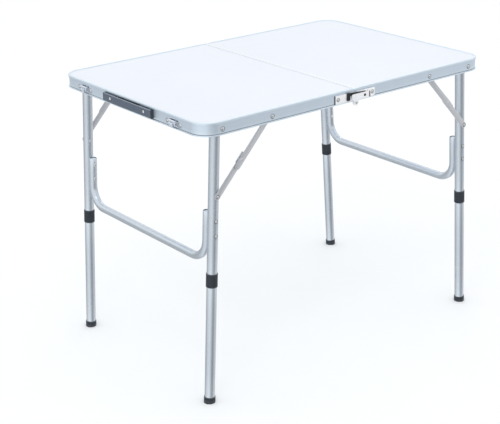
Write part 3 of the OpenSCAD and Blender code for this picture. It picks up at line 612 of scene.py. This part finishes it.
# ---------------------------------------------------------------- leg frames
def make_leg_frame(name, side):
    body = f"{name}_leg_frame"
    legs, collars, rivets, brace_rivets = Shape(), Shape(), Shape(), Shape()
    for edge in EDGES.values():
        place = on_leg(side, edge)
        wall = LEG_R - TUBE_WALL
        outer = [(wall, LEG_HEAD), (LEG_R - 0.5, LEG_HEAD), (LEG_R, LEG_HEAD - 0.5)]
        outer += [(LEG_R, -UPPER_LEG * k / 5) for k in range(5)]
        outer += [(LEG_R, 0.5 - UPPER_LEG), (LEG_R - 0.5, -UPPER_LEG), (wall, -UPPER_LEG)]
        legs.lathe(outer, (0, LEG_Y, 0), "z", place, wrap=True, segments=56)
        collars.lathe(collar_profile(), (0, LEG_Y, 0), "z", place, wrap=True, segments=56)
        for drop in BAR_RIVETS:
            rivet(rivets, (0, 0, -drop), "y", place, BAR_Y - BAR_R, LEG_OUT_Y, RIVET_SHANK, RIVET_R)
        centre, outer_y = (0, 0, -BRACE_DROP), LOWER_LINK_Y + LINK_T + 0.2
        rivet(brace_rivets, centre, "y", place, LEG_IN_Y, outer_y, RIVET_SHANK, RIVET_R)
        spacer = [(2.1, LEG_OUT_Y), (3.6, LEG_OUT_Y), (3.6, LOWER_LINK_Y - 0.3), (2.1, LOWER_LINK_Y - 0.3)]
        brace_rivets.lathe(spacer, centre, "y", place, wrap=True, segments=ROUND)
    legs.make(f"{name}_leg_tubes", tube_metal, body, [f"{name}_legs"], "tube_aluminium")
    collars.make(f"{name}_leg_collars", black, body, [f"{name}_collars"], "black_plastic")
    rivets.make(f"{name}_bar_rivet_heads", rivet_steel, body, [f"{name}_bar_rivets"], "zinc_steel")
    key = f"{name}_brace_rivet"
    brace_rivets.make(f"{key}_heads", rivet_steel, body, [f"{key}s"], "zinc_steel")
    make_cross_bar(name, side, body)


def collar_profile():
    """The sleeve's wall: a rolled lip at each end, a shallow waist and two fine grooves."""
    top, foot, r = -COLLAR_TOP, -COLLAR_FOOT, COLLAR_R
    inner = LEG_R + GAP
    outer = [(inner, top - 0.6), (inner + 0.4, top), (r - 0.6, top), (r, top - 0.7), (r, top - 2.6)]
    outer += [(r - 0.35, top - 3.1), (r - 0.35, top - 4), (r - 0.15, top - 4.5)]
    outer += [(r - 0.15, foot + 4.5), (r - 0.35, foot + 4), (r - 0.35, foot + 3.1)]
    outer += [(r, foot + 2.6), (r, foot + 0.7), (r - 0.6, foot), (PLUG_R + 0.3, foot)]
    return outer + [(PLUG_R + 0.3, foot + 1.8), (inner, foot + 1.9)]


def bar_line():
    """Centre line of the cross bar in the leg frame, from one open end to the other."""
    straight = BAR_DROP - BAR_BEND
    stub = [(BAR_Y, -z) for z in (BAR_TOP, BAR_TOP + 0.6, (BAR_TOP + straight) / 2, straight)]
    bend = arc(BAR_Y - BAR_BEND, -straight, BAR_BEND, 0, -QUARTER, 14)[1:]
    half_line = stub + bend + [((BAR_Y - BAR_BEND) / 2, -BAR_DROP)]
    return half_line + [(0, -BAR_DROP)] + [(-y, z) for y, z in reversed(half_line)]


def make_cross_bar(name, side, body):
    line = bar_line()
    segments, rings = 36, []
    steps = [2 * math.pi * j / segments for j in range(segments)]

    def ring(y, z, ty, tz, r):
        return [(r * math.cos(a), y - tz * r * math.sin(a), z + ty * r * math.sin(a)) for a in steps]

    last = len(line) - 1
    for i, (y, z) in enumerate(line):
        (ya, za), (yb, zb) = line[max(0, i - 1)], line[min(last, i + 1)]
        length = math.hypot(yb - ya, zb - za)
        ty, tz = (yb - ya) / length, (zb - za) / length
        if i in (0, last):
            rim = [(BAR_R - 0.4, 0), (BAR_R - TUBE_WALL, 0), (BAR_R - TUBE_WALL, -1.3)]
            lips = [ring(y, z + d, ty, tz, r) for r, d in rim]
            rings += lips if i else lips[::-1]
        else:
            rings.append(ring(y, z, ty, tz, BAR_R))
    Shape().tube(rings, on_leg(side)).make(
        f"{name}_cross_bar_tube", tube_metal, body, [f"{name}_cross_bar"], "tube_aluminium"
    )
    plugs = Shape()
    r = BAR_R - TUBE_WALL - GAP
    for edge in EDGES.values():
        profile = [(AXIS, -8), (r - 0.4, -8), (r, -7.6), (r, -0.5), (r - 0.5, 0), (r - 2.2, 0)]
        profile += [(r - 2.6, -0.6), (AXIS, -0.6)]
        plugs.lathe(profile, (0, BAR_Y, -BAR_TOP - 1), "z", on_leg(side, edge), segments=36)
    plugs.make(f"{name}_bar_end_plugs", black, body, [f"{name}_bar_plugs"], "black_plastic")


def make_extension(name, edge_name, side, edge):
    body = f"{name}_{edge_name}_extension"
    place = on_leg(side, edge)
    plug_top, foot = -LOWER_TOP + PLUG_L, -(FLOOR_DROP - SOLE)
    profile = [(PLUG_R - TUBE_WALL, plug_top), (PLUG_R - 0.6, plug_top), (PLUG_R, plug_top - 0.8)]
    profile += [(PLUG_R, -LOWER_TOP + 0.8), (PLUG_R + 0.3, -LOWER_TOP), (LEG_R - 0.5, -LOWER_TOP)]
    profile += [(LEG_R, -LOWER_TOP - 0.6)]
    profile += [(LEG_R, -LOWER_TOP + (foot + LOWER_TOP) * k / 4) for k in (1, 2, 3)]
    profile += [(LEG_R, foot + 0.4), (LEG_R - 0.4, foot), (LEG_R - TUBE_WALL, foot)]
    profile += [(LEG_R - TUBE_WALL, -LOWER_TOP - 2), (PLUG_R - TUBE_WALL, -LOWER_TOP)]
    tube = Shape().lathe(profile, (0, LEG_Y, 0), "z", place, wrap=True, segments=56)
    tube.make(f"{body}_tube", tube_metal, body, [f"{name}_{edge_name}_lower_leg"], "tube_aluminium")
    make_foot(f"{name}_{edge_name}", body, side, edge)


def make_foot(name, body, side, edge):
    """The moulded cap: a rounded rim round the tube, a slight taper and a flat sole on the floor."""
    top = FOOT_H - FLOOR_DROP
    low = -FLOOR_DROP - 2
    r = COLLAR_R
    profile = [(AXIS, top - 11), (LEG_R + GAP, top - 11), (LEG_R + GAP, top - 0.5)]
    profile += [(LEG_R + 0.35, top), (r - 0.55, top), (r - 0.1, top - 0.5), (r - 0.1, top - 2.4)]
    profile += [(r - 0.4, top - 2.9), (r - 0.4, top - 3.4), (r - 0.1, top - 3.9), (r, top - 6)]
    profile += [(r, low), (AXIS, low)]
    shape = Shape().lathe(profile, (0, LEG_Y, 0), "z", on_leg(side, edge), segments=48)
    piece = shape.make(f"{name}_foot_cap", black, body, [f"{name}_foot"], "black_plastic")
    bm = bmesh.new()
    bm.from_mesh(piece.data)
    whole = bm.verts[:] + bm.edges[:] + bm.faces[:]
    cut = bmesh.ops.bisect_plane(
        bm, geom=whole, plane_co=(0, 0, 0), plane_no=(0, 0, 1), clear_inner=True
    )
    rim = [e for e in cut["geom_cut"] if isinstance(e, bmesh.types.BMEdge)]
    bmesh.ops.contextual_create(bm, geom=rim)
    bmesh.ops.recalc_face_normals(bm, faces=bm.faces[:])
    bm.to_mesh(piece.data)
    bm.free()


# ---------------------------------------------------------------- braces
def make_braces(name, edge_name, side, edge):
    key = f"{name}_{edge_name}"
    upper, lower = Shape(), Shape()
    at_rail = on_link(side, edge, BRACE_RAIL_X, PIVOT_Z, BRACE_ANGLE)
    at_leg = on_link(side, edge, BRACE_LEG_X, BRACE_LEG_Z, BRACE_ANGLE + math.pi)
    bar = capsule(0, UPPER_LINK + LINK_TAIL - LINK_R, LINK_R)
    hole = [(0, 0, 3.06)]
    upper.slab(bar, UPPER_LINK_Y, UPPER_LINK_Y + LINK_T, upright, at_rail, hole, 0.35)
    head = UPPER_LINK_Y + LINK_T - GAP
    knee = [(AXIS, head - 1)] + dome(PIVOT_HEAD_R, head, HEAD_H)
    upper.lathe(knee, (UPPER_LINK, 0, 0), "y", at_rail, segments=ROUND)
    end = LOWER_LINK + LINK_TAIL - LINK_R
    start = LOWER_LINK - 12
    guide = arc(0, 0, LINK_R, QUARTER, 3 * QUARTER, 20)
    guide += [(start - 2, -LINK_R), (start, -LINK_R - 0.8), (start, 1.2 - GUIDE_W), (start + 1.2, -GUIDE_W)]
    guide += [(end - 1.2, -GUIDE_W), (end, 1.2 - GUIDE_W), (end, LINK_R - 1.2), (end - 1.2, LINK_R)]
    lower.slab(guide, LOWER_LINK_Y, LOWER_LINK_Y + LINK_T, upright, at_leg, [(0, 0, 2.06)], 0.35)
    boss = LOWER_LINK_Y + LINK_T
    washer = [(AXIS, boss - 0.5), (PIVOT_HEAD_R, boss - 0.5), (PIVOT_HEAD_R, boss + 1.1)]
    washer += [(PIVOT_HEAD_R - 0.4, boss + 1.5), (AXIS, boss + 1.5)]
    lower.lathe(washer, (LOWER_LINK, 0, 0), "y", at_leg, segments=ROUND)
    for shape, part in ((upper, f"{key}_upper"), (lower, f"{key}_lower")):
        shape.make(f"{part}_bar", link_metal, f"{part}_brace", [f"{part}_link"], "link_aluminium")


# ---------------------------------------------------------------- pivots in the rail
def make_rail_pivots(name, side):
    body = f"{name}_half"
    legs, braces = Shape(), Shape()
    link_top = UPPER_LINK_Y + LINK_T
    for edge in EDGES.values():
        place = on_half(side, edge)
        for shape, x, sleeve, inner in (
            (legs, LEG_PIVOT_X, LEG_OUT_Y + 0.3, LEG_IN_Y - 0.3),
            (braces, BRACE_RAIL_X, link_top + 0.3, UPPER_LINK_Y - 0.3),
        ):
            centre = (x, 0, PIVOT_Z)
            rivet(shape, centre, "y", place, inner, FACE_Y + GAP, 3, PIVOT_HEAD_R)
            ring = [(3.02, sleeve), (5, sleeve), (5, WALL_Y - GAP), (3.02, WALL_Y - GAP)]
            shape.lathe(ring, centre, "y", place, wrap=True, segments=ROUND)
    legs.make(f"{name}_leg_pivot_pins", rivet_steel, body, [f"{name}_leg_pivots"], "zinc_steel")
    braces.make(f"{name}_brace_pivot_pins", rivet_steel, body, [f"{name}_brace_pivots"], "zinc_steel")


# ---------------------------------------------------------------- centre brackets
def plate_corners():
    """A hinge plate's outline from its outer foot, over its top and down to the fold."""
    soft = 1.5
    points = [(PLATE_X1, PLATE_FOOT + soft), (PLATE_X1, PLATE_TOP - soft), (PLATE_X1 - soft, PLATE_TOP)]
    return points + [(PLATE_X0 + soft, PLATE_TOP), (PLATE_X0, PLATE_TOP - soft)]


def ear_outline():
    """The left plate, with its ear: the ear's round end hangs below the plate round the fold axis."""
    ear = arc(0, FOLD_Z, EAR_R, math.acos(PLATE_X0 / EAR_R), 2 * math.pi, 32)
    foot = [(EAR_R, PLATE_FOOT - 1.2), (EAR_R + 1.6, PLATE_FOOT), (PLATE_X1 - 1.5, PLATE_FOOT)]
    return plate_corners() + ear + foot


def base_outline():
    """The right base plate, its lower corner cut round so that the left plate's ear turns clear."""
    reach = EAR_R + EAR_CLEAR
    first, last = math.acos(PLATE_X0 / reach), math.asin((PLATE_FOOT - FOLD_Z) / reach)
    return plate_corners() + arc(0, FOLD_Z, reach, first, last, 8) + [(PLATE_X1 - 1.5, PLATE_FOOT)]


def make_left_plates():
    body = "left_half"
    plates, heads, pins, shadow_strips = Shape(), Shape(), Shape(), Shape()
    # A thin black strip beside each plate's outer end: painted shade of the gap there.
    strip = rounded_box(PLATE_X1 + 0.1, PLATE_FOOT, PLATE_X1 + SHADOW_STRIP_W, PLATE_TOP, 0.6)
    outline = ear_outline()
    for edge in EDGES.values():
        place = on_half(-1, edge)
        holes = [(0, FOLD_Z, 2.55)]
        plates.slab(outline, PLATE_Y, PLATE_OUT, upright, place, holes, 0.3)
        shadow_strips.slab(strip, FACE_Y, FACE_Y + 0.9, upright, place, (), 0.2)
        plate_rivets(heads, place)
        out = on_half(1, edge)
        head = COVER_OUT + 0.3
        profile = [(AXIS, PLATE_Y), (2.5, PLATE_Y), (2.5, PLATE_OUT + GAP), (4, PLATE_OUT + GAP)]
        profile += [(4, HOOK_Y), (2.44, HOOK_Y), (2.44, head)]
        pins.lathe(profile + dome(4, head, HEAD_H), (0, 0, FOLD_Z), "y", out, segments=32)
    shadow_strips.make("left_plate_end_shadow_strips", black, body, (), "black_plastic")
    plates.make("left_hinge_plate_pair", zinc, body, ["left_hinge_plates"], "zinc_steel")
    heads.make("left_plate_rivet_heads", rivet_steel, body, ["left_plate_rivets"], "zinc_steel")
    pins.make("fold_axis_pins", rivet_steel, body, ["fold_pins"], "zinc_steel")


def plate_rivets(shape, place):
    outer = PLATE_OUT + GAP
    rivet(shape, (PLATE_RIVET_X, 0, PLATE_RIVET_Z), "y", place, WALL_Y - GAP, outer, RIVET_SHANK, RIVET_R)
    back, r = WALL_Y - GAP, RIVET_R
    flush = [(AXIS, back - 1), (r - 0.4, back - 1), (r, back - 0.55), (r, back)]
    flush += [(RIVET_SHANK, back), (RIVET_SHANK, outer - 0.1), (AXIS, outer - 0.1)]
    shape.lathe(flush, (FLUSH_RIVET_X, 0, PLATE_RIVET_Z), "y", place, segments=ROUND)


def make_right_plates():
    body = "right_half"
    plates, heads, pivots = Shape(), Shape(), Shape()
    base = base_outline()
    cover = cover_outline()
    for edge in EDGES.values():
        place = on_half(1, edge)
        plates.slab(base, PLATE_Y, PLATE_OUT, upright, place, (), 0.3)
        plates.slab(cover_bend(), PLATE_FOOT + 0.5, COVER_TOP, flat, place, (), 0.2)
        holes = [(0, FOLD_Z, 2.56), (HOOK_PIVOT_X, HOOK_PIVOT_Z, 2.05)]
        plates.slab(cover, COVER_Y, COVER_OUT, upright, place, holes, 0.35)
        plate_rivets(heads, place)
        centre = (HOOK_PIVOT_X, 0, HOOK_PIVOT_Z)
        top = COVER_OUT + 0.2
        # The pivot tube is a real part; its dark colour, with the dark washer round it, paints the shade of
        # the pivot hole.
        tube = [(AXIS, PLATE_Y), (2, PLATE_Y), (2, top), (1.2, top), (1.2, HOOK_Y), (AXIS, HOOK_Y)]
        pivots.lathe(tube, centre, "y", place, segments=ROUND)
        low, high = COVER_OUT + 0.02, COVER_OUT + 0.3
        washer = [(RIVET_HOLE, low), (3.3, low), (3.3, high), (RIVET_HOLE, high)]
        pivots.lathe(washer, centre, "y", place, wrap=True, segments=ROUND)
    plates.make("right_hinge_plate_pair", zinc, body, ["right_hinge_plates"], "zinc_steel")
    heads.make("right_plate_rivet_heads", rivet_steel, body, ["right_plate_rivets"], "zinc_steel")
    pivots.make("hook_pivot_tubes", dark_steel, body, ["hook_pivots"], "zinc_steel")


def cover_bend():
    """Plan of the bend that steps the cover plate down to the base plate beside the rivet."""
    x, y = COVER_X1 - 3, PLATE_OUT - GAP
    top = [(x - 3, COVER_Y), (x - 3, COVER_OUT), (x + 0.5, COVER_OUT), (x + 2, COVER_OUT - 0.6)]
    return top + [(x + 5.6, y), (x + 1.5, y)]


def cover_outline():
    """The cover plate over the lock hook, with its ear round the fold axis."""
    foot, top = PLATE_FOOT + 0.5, COVER_TOP
    points = [(COVER_X1, PLATE_FOOT + 1), (COVER_X1, top - 2), (COVER_X1 - 2, top)]
    left = -COVER_REACH
    points += [(left + 2, top), (left, top - 2), (left, foot + 2), (left + 2, foot)]
    points += [(-EAR_R - 1.2, foot), (-EAR_R, foot - 1.2)]
    points += arc(0, FOLD_Z, EAR_R, math.pi, 2 * math.pi, 18)
    points += [(EAR_R, foot - 1.2), (EAR_R + 1.2, foot), (COVER_X1 - 1, PLATE_FOOT + 0.5)]
    return points


def make_lock_hook(edge_name, edge):
    body = f"{edge_name}_hook"
    r = 5
    x0, x1 = HOOK_END_X, HOOK_PIVOT_X + r
    under, tip = HOOK_TOP - HOOK_BAR_H, HOOK_TOP - HOOK_TAPER
    outline = [(x0 + 1.5, HOOK_TOP - 0.1), (x0, HOOK_TOP - 1.5), (x0, HOOK_FOOT + 2), (x0 + 2, HOOK_FOOT)]
    outline += [(x0 + 9, HOOK_FOOT), (x0 + 11, HOOK_FOOT + 2), (x0 + 11, under - 1), (x0 + 12, under)]
    outline += [(HOOK_PIVOT_X - r - 1, under), (HOOK_PIVOT_X - r, under - 1)]
    outline += arc(HOOK_PIVOT_X, HOOK_PIVOT_Z, r, math.pi, 2 * math.pi, 12)
    outline += [(x1, tip - 1.2), (x1 - 1.2, tip)]
    holes = [(HOOK_PIVOT_X, HOOK_PIVOT_Z, 2.06)]
    shape = Shape().slab(outline, HOOK_Y, HOOK_Y + HOOK_T, upright, on_half(1, edge), holes, 0.4, 3)
    shape.make(f"{edge_name}_hook_plate", dark_steel, body, [f"{edge_name}_lock_hook"], "dark_steel")


# ---------------------------------------------------------------- handle and latches
def make_handle():
    """The strap handle: a slate moulding whose top outer edge is paler, a painted highlight, black end caps
    and a thin black sheet behind the grip, painted shade in the gap.
    """
    grip, caps, heads = Shape(), Shape(), Shape()
    place = on_end(-1, HANDLE_Y)
    low, high = HANDLE_Z - HANDLE_H / 2, HANDLE_Z + HANDLE_H / 2
    half, out, soft = HANDLE_HALF - HANDLE_CAP, FACE_X + HANDLE_OUT, 1.2
    plan = [(FACE_X + GAP, -half), (out - soft, -half), (out, soft - half), (out, half - soft)]
    plan += [(out - soft, half), (FACE_X + GAP, half)]
    depth = FACE_X + GRIP_GAP
    inner = [(FACE_X + GAP, GRIP_HALF), (depth - 1, GRIP_HALF - 2), (depth, GRIP_HALF - 6)]
    grip.slab(plan + inner + [(x, -y) for x, y in reversed(inner)], low, high, flat, place, (), 1.1, 4)
    for s in (-1, 1):
        end = rounded_box(FACE_X + GAP, low + 0.1, out - 0.1, high - 0.1, [0, 1.2, 1.2, 0])
        y0, y1 = sorted((s * half - s * 0.4, s * HANDLE_HALF))
        caps.slab(end, y0, y1, upright, place, (), 0.35)
        end_rivet(heads, place, s * HANDLE_RIVET_Y, HANDLE_Z, out)
    # Faces along the grip's top outer edge take the paler second material: a painted highlight.
    for i, face in enumerate(grip.faces):
        middle = sum((grip.points[k] for k in face), Vector()) / len(face)
        in_highlight = middle.z > high - soft and -middle.x > out - soft
        grip.tints[i] = int(in_highlight and abs(middle.y - HANDLE_Y) < half - 1)
    grip.make("carry_handle_grip", slate, "left_half", ["carry_handle"], "slate_plastic", 40, slate_highlight)
    # A thin black sheet behind the grip: painted shade in the gap between grip and rail.
    shade_patch = rounded_box(4 - GRIP_HALF, low + 0.5, GRIP_HALF - 4, high - 0.5, 2)
    caps.slab(shade_patch, FACE_X + GAP, FACE_X + 0.6, endways, place, (), 0.15)
    caps.make("carry_handle_caps_and_shade_patch", black, "left_half", (), "black_plastic")
    heads.make("handle_rivet_heads", rivet_steel, "left_half", ["handle_rivets"], "zinc_steel")


def end_rivet(shape, place, y, z, outer):
    rivet(shape, (0, y, z), "x", place, WALL_X - GAP, outer + GAP, RIVET_SHANK, RIVET_R)


def make_latches():
    """The latch bases, each with a thin dark strip above its lugs, a painted shadow line, and a darker
    patch round one rivet, painted shade.
    """
    bases, pins, heads, shadow_marks = Shape(), Shape(), Shape(), Shape()
    low, high = LATCH_Z - LATCH_H / 2, LATCH_Z + LATCH_H / 2
    # A thin dark strip on the latch face: a painted shadow line above the lugs.
    slot = rounded_box(-LUG_Y - 7, high - 3.2, LUG_Y - 2, high - 0.8, 1)
    # A darker patch round one rivet: painted shade beside its head.
    shade_patch = rounded_box(0.8 - LATCH_HALF, low + 1, -LUG_Y - 1.5, high - 4.1, 1.5)
    plate = rounded_box(-LATCH_HALF, low, LATCH_HALF, high, 3)
    face = LATCH_OUT - 0.1
    for edge in EDGES.values():
        place = on_end(-1, edge * LATCH_Y)
        holes = [(s * LATCH_RIVET_Y, LATCH_Z, RIVET_HOLE) for s in (-1, 1)]
        bases.slab(plate, FACE_X + GAP, LATCH_OUT, endways, place, holes, 0.3)
        shadow_marks.slab(slot, face, face + 0.5, endways, place, (), 0.15)
        round_rivet = [(-LATCH_RIVET_Y, LATCH_Z, RIVET_R + 0.15)]
        shadow_marks.slab(shade_patch, face, face + 0.4, endways, place, round_rivet, 0.15, tint=1)
        for s in (-1, 1):
            lug = rounded_box(face, LATCH_PIN_Z - 3.5, FACE_X + 6.5, LATCH_PIN_Z + 3.5, [0, 2.5, 2.5, 0])
            y0 = s * LUG_Y - 0.6
            bases.slab(lug, y0, y0 + 1.2, upright, place, (), 0.2)
            end_rivet(heads, place, s * LATCH_RIVET_Y, LATCH_Z, LATCH_OUT)
        end = LUG_Y + 1.2
        pin = [(AXIS, -end), (0.9, -end), (1.25, 0.35 - end), (1.25, end - 0.35), (0.9, end), (AXIS, end)]
        pins.lathe(pin, (LATCH_PIN_X, 0, LATCH_PIN_Z), "y", place, segments=20)
    shadow_marks.make("latch_shadow_marks", dark_steel, "left_half", (), "dark_steel", 35, shade_metal)
    bases.make("latch_base_plates", latch_steel, "left_half", ["latch_bases"], "zinc_steel")
    pins.make("latch_pin_rods", latch_steel, "left_half", ["latch_pins"], "zinc_steel")
    heads.make("latch_rivet_heads", rivet_steel, "left_half", ["latch_rivets"], "zinc_steel")


def make_latch_moving(edge_name, edge):
    place = on_end(-1, edge * LATCH_Y)
    lever, claw = Shape(), Shape()
    barrel(lever, place, LATCH_PIN_X, LATCH_PIN_Z, 2.5, 1.31, LEVER_HALF)
    plate = rounded_box(-LEVER_HALF, LATCH_PIN_Z - 11.5, LEVER_HALF, LATCH_PIN_Z, [2.5, 2.5, 0, 0])
    holes = [(0, LATCH_PIN_Z - 7.6, 1.9)]
    lever.slab(plate, LATCH_PIN_X, LATCH_PIN_X + 1.2, endways, place, holes, 0.3)
    for s in (-1, 1):
        x0, x1 = LATCH_PIN_X + 1.1, CLAW_PIN_X + 1.8
        ear = rounded_box(x0, CLAW_PIN_Z - 1.8, x1, CLAW_PIN_Z + 1.8, [0, 1.6, 1.6, 0])
        y0 = s * (CLAW_HALF + 1) - 0.6
        lever.slab(ear, y0, y0 + 1.2, upright, place, (), 0.15)
    end = CLAW_HALF + 1.6
    pin = [(AXIS, -end), (0.9, -end), (0.9, end), (AXIS, end)]
    lever.lathe(pin, (CLAW_PIN_X, 0, CLAW_PIN_Z), "y", place, segments=16)
    barrel(claw, place, CLAW_PIN_X, CLAW_PIN_Z, 1.8, 0.96, CLAW_HALF)
    blade = rounded_box(-CLAW_HALF, CLAW_PIN_Z - 9, CLAW_HALF, CLAW_PIN_Z - 0.9, [1.2, 1.2, 0, 0])
    claw.slab(blade, CLAW_PIN_X - 0.5, CLAW_PIN_X + 0.5, endways, place, (), 0.2)
    toe = rounded_box(CLAW_PIN_X - 2.5, -CLAW_HALF, CLAW_PIN_X, CLAW_HALF, [0.8, 0, 0, 0.8])
    claw.slab(toe, CLAW_PIN_Z - 9, CLAW_PIN_Z - 8, flat, place, (), 0.2)
    for shape, part in ((lever, "lever"), (claw, "claw")):
        body = f"{edge_name}_{part}"
        shape.make(f"{body}_plate", latch_steel, body, [f"{edge_name}_latch_{part}"], "zinc_steel")


def barrel(shape, place, x, z, outer, bore, half):
    """The rolled end of a latch plate round its pin."""
    profile = [(bore, -half), (outer - 0.3, -half), (outer, 0.3 - half), (outer, half - 0.3)]
    profile += [(outer - 0.3, half), (bore, half)]
    shape.lathe(profile, (x, 0, z), "y", place, wrap=True, segments=24)


def make_keepers():
    plates, heads = Shape(), Shape()
    z0, z1 = LATCH_Z - LATCH_H / 2, LATCH_Z + LATCH_H / 2
    plate = rounded_box(-KEEPER_HALF, z0, KEEPER_HALF, z1, 3)
    for edge in EDGES.values():
        place = on_end(1, edge * LATCH_Y)
        holes = [(s * KEEPER_RIVET_Y, LATCH_Z, RIVET_HOLE) for s in (-1, 1)]
        plates.slab(plate, FACE_X + GAP, LATCH_OUT, endways, place, holes, 0.3)
        x0, x1, w = FACE_X + 1.1, FACE_X + 5, KEEPER_LIP_HALF
        hook = [(x0, z0), (x1 - 1, z0), (x1, z0 + 1), (x1, z0 + 4.6), (x1 - 0.4, z0 + 5)]
        hook += [(x1 - 0.8, z0 + 5), (x1 - 1.2, z0 + 4.6), (x1 - 1.2, z0 + 1.7)]
        hook += [(x1 - 1.7, z0 + 1.2), (x0, z0 + 1.2)]
        plates.slab(hook, -w, w, upright, place, (), 0.15)
        for s in (-1, 1):
            end_rivet(heads, place, s * KEEPER_RIVET_Y, LATCH_Z, LATCH_OUT)
    plates.make("latch_keeper_plates", latch_steel, "right_half", ["latch_keepers"], "zinc_steel")
    heads.make("keeper_rivet_heads", rivet_steel, "right_half", ["keeper_rivets"], "zinc_steel")


# ---------------------------------------------------------------- the table
for side_name, side_sign in SIDES.items():
    make_rail(side_name, side_sign)
    make_leg_frame(side_name, side_sign)
    make_rail_pivots(side_name, side_sign)
    for edge_key, edge_sign in EDGES.items():
        make_extension(side_name, edge_key, side_sign, edge_sign)
        make_braces(side_name, edge_key, side_sign, edge_sign)
    nodes[f"{side_name}_panel"].material_slots[0].material = white
    nodes[f"{side_name}_fold_strip"].material_slots[0].material = trim_metal
make_left_plates()
make_right_plates()
make_handle()
make_latches()
make_keepers()
for edge_key, edge_sign in EDGES.items():
    make_lock_hook(edge_key, edge_sign)
    make_latch_moving(edge_key, edge_sign)


# ---------------------------------------------------------------- floor, light and camera
def make_floor():
    """A pale floor with a wide curved rise behind, which the metal doesn't mirror."""
    material, tree, shader = node_tree("floor_paper")
    place = tree.nodes.new("ShaderNodeTexCoord").outputs["Object"]
    clouds = spread(tree, noise(tree, place, 0.8), 0, 1)
    tone = mixed(tree, clouds, (0.875, 0.885, 0.885), (0.90, 0.905, 0.905))
    tree.links.new(tone, shader.inputs["Base Color"])
    shader.inputs["Roughness"].default_value = 0.9
    shader.inputs["Specular IOR Level"].default_value = 0.1
    shader.inputs["Emission Color"].default_value = (0.98, 0.99, 1.0, 1)
    shader.inputs["Emission Strength"].default_value = 0.13
    see_through = tree.nodes.new("ShaderNodeBsdfTransparent")
    two_sided = tree.nodes.new("ShaderNodeMixShader")
    geometry = tree.nodes.new("ShaderNodeNewGeometry")
    tree.links.new(geometry.outputs["Backfacing"], two_sided.inputs[0])
    tree.links.new(shader.outputs["BSDF"], two_sided.inputs[1])
    tree.links.new(see_through.outputs["BSDF"], two_sided.inputs[2])
    tree.links.new(two_sided.outputs["Shader"], tree.nodes["Material Output"].inputs["Surface"])
    reach, rise, steps = 9.0, 4.0, 24
    bm = bmesh.new()
    rings = [[bm.verts.new((0, 0, 0))]]
    levels = [(reach * 0.2, 0), (reach * 0.6, 0), (reach, 0)]
    levels += [(reach + rise * math.sin(a), rise - rise * math.cos(a)) for a in (0.3, 0.6, 0.9, 1.2, 1.5)]
    for radius, height in levels:
        turn = [2 * math.pi * i / (2 * steps) for i in range(2 * steps)]
        rings.append([bm.verts.new((radius * math.cos(a), radius * math.sin(a), height)) for a in turn])
    count = 2 * steps
    for i in range(count):
        bm.faces.new((rings[0][0], rings[1][i], rings[1][(i + 1) % count]))
    for inner, outer in zip(rings[1:], rings[2:]):
        for i in range(count):
            n = (i + 1) % count
            bm.faces.new((inner[i], outer[i], outer[n], inner[n]))
    mesh = bpy.data.meshes.new("studio_floor")
    bm.to_mesh(mesh)
    bm.free()
    mesh.shade_smooth()
    mesh.materials.append(material)
    floor = bpy.data.objects.new("studio_floor", mesh)
    bpy.context.scene.collection.objects.link(floor)
    floor.visible_glossy = False


def make_world():
    """Even white light from above, and soft light and dark zones round the horizon for the metal."""
    world = bpy.data.worlds.new("studio")
    bpy.context.scene.world = world
    world.use_nodes = True
    tree = world.node_tree
    background = tree.nodes["Background"]
    where = tree.nodes.new("ShaderNodeTexCoord").outputs["Generated"]
    round_about = tree.nodes.new("ShaderNodeTexGradient")
    round_about.gradient_type = "RADIAL"
    tree.links.new(where, round_about.inputs["Vector"])
    zones = [(0.0, 0.88), (0.04, 0.95), (0.09, 0.93), (0.144, 0.76), (0.20, 0.46), (0.26, 0.30)]
    zones += [(0.32, 0.34), (0.36, 0.54), (0.39, 0.76), (0.43, 0.66), (0.53, 0.72), (0.644, 0.90)]
    zones += [(0.75, 0.55), (0.856, 0.50), (0.94, 0.80), (1.0, 0.88)]
    stops = [(t, (v * 0.97, v * 0.985, v)) for t, v in zones]
    low = ramp(tree, round_about.outputs["Fac"], stops, smooth=True)
    parts = tree.nodes.new("ShaderNodeSeparateXYZ")
    tree.links.new(where, parts.inputs["Vector"])
    height = tree.nodes.new("ShaderNodeMapRange")
    height.inputs["From Min"].default_value = 0.0
    height.inputs["From Max"].default_value = 0.35
    tree.links.new(parts.outputs["Z"], height.inputs["Value"])
    colour = mixed(tree, height.outputs["Result"], low, (0.98, 0.99, 1.0))
    tree.links.new(colour, background.inputs["Color"])
    background.inputs["Strength"].default_value = 1.0


def make_lamp(name, place, size, power):
    """A large soft area lamp that points at the table top."""
    data = bpy.data.lights.new(name, "AREA")
    data.shape = "DISK"
    data.size = size
    data.energy = power
    lamp = bpy.data.objects.new(name, data)
    lamp.location = place
    aim = Vector((0, 0, 0.6)) - Vector(place)
    lamp.rotation_euler = aim.to_track_quat("-Z", "Y").to_euler()
    bpy.context.scene.collection.objects.link(lamp)


CAMERA_AT = (-1.967819, -2.401481, 1.514683)
CAMERA_TURNS = (-38.019, 21.414, -1.139)
CAMERA_LENS = 90.18


def make_camera():
    """The camera at the photograph's angle: turned by az, raised by el and rolled slightly."""
    az, el, roll = [math.radians(a) for a in CAMERA_TURNS]
    back = Vector((math.sin(az) * math.cos(el), -math.cos(az) * math.cos(el), math.sin(el)))
    right = Vector((math.cos(az), math.sin(az), 0))
    up = back.cross(right)
    x_axis = right * math.cos(roll) + up * math.sin(roll)
    y_axis = up * math.cos(roll) - right * math.sin(roll)
    data = bpy.data.cameras.new("camera")
    data.sensor_width = 36
    data.lens = CAMERA_LENS
    camera = bpy.data.objects.new("camera", data)
    turn = Matrix((x_axis, y_axis, back)).transposed()
    camera.matrix_world = Matrix.Translation(CAMERA_AT) @ turn.to_4x4()
    bpy.context.scene.collection.objects.link(camera)
    bpy.context.scene.camera = camera


make_floor()
make_world()
make_lamp("key_light", (-1.6, -1.2, 3.0), 0.6, 4)
make_lamp("fill_light", (2.2, 1.8, 2.6), 0.8, 2)
make_camera()
bpy.context.scene.view_settings.view_transform = "Standard"
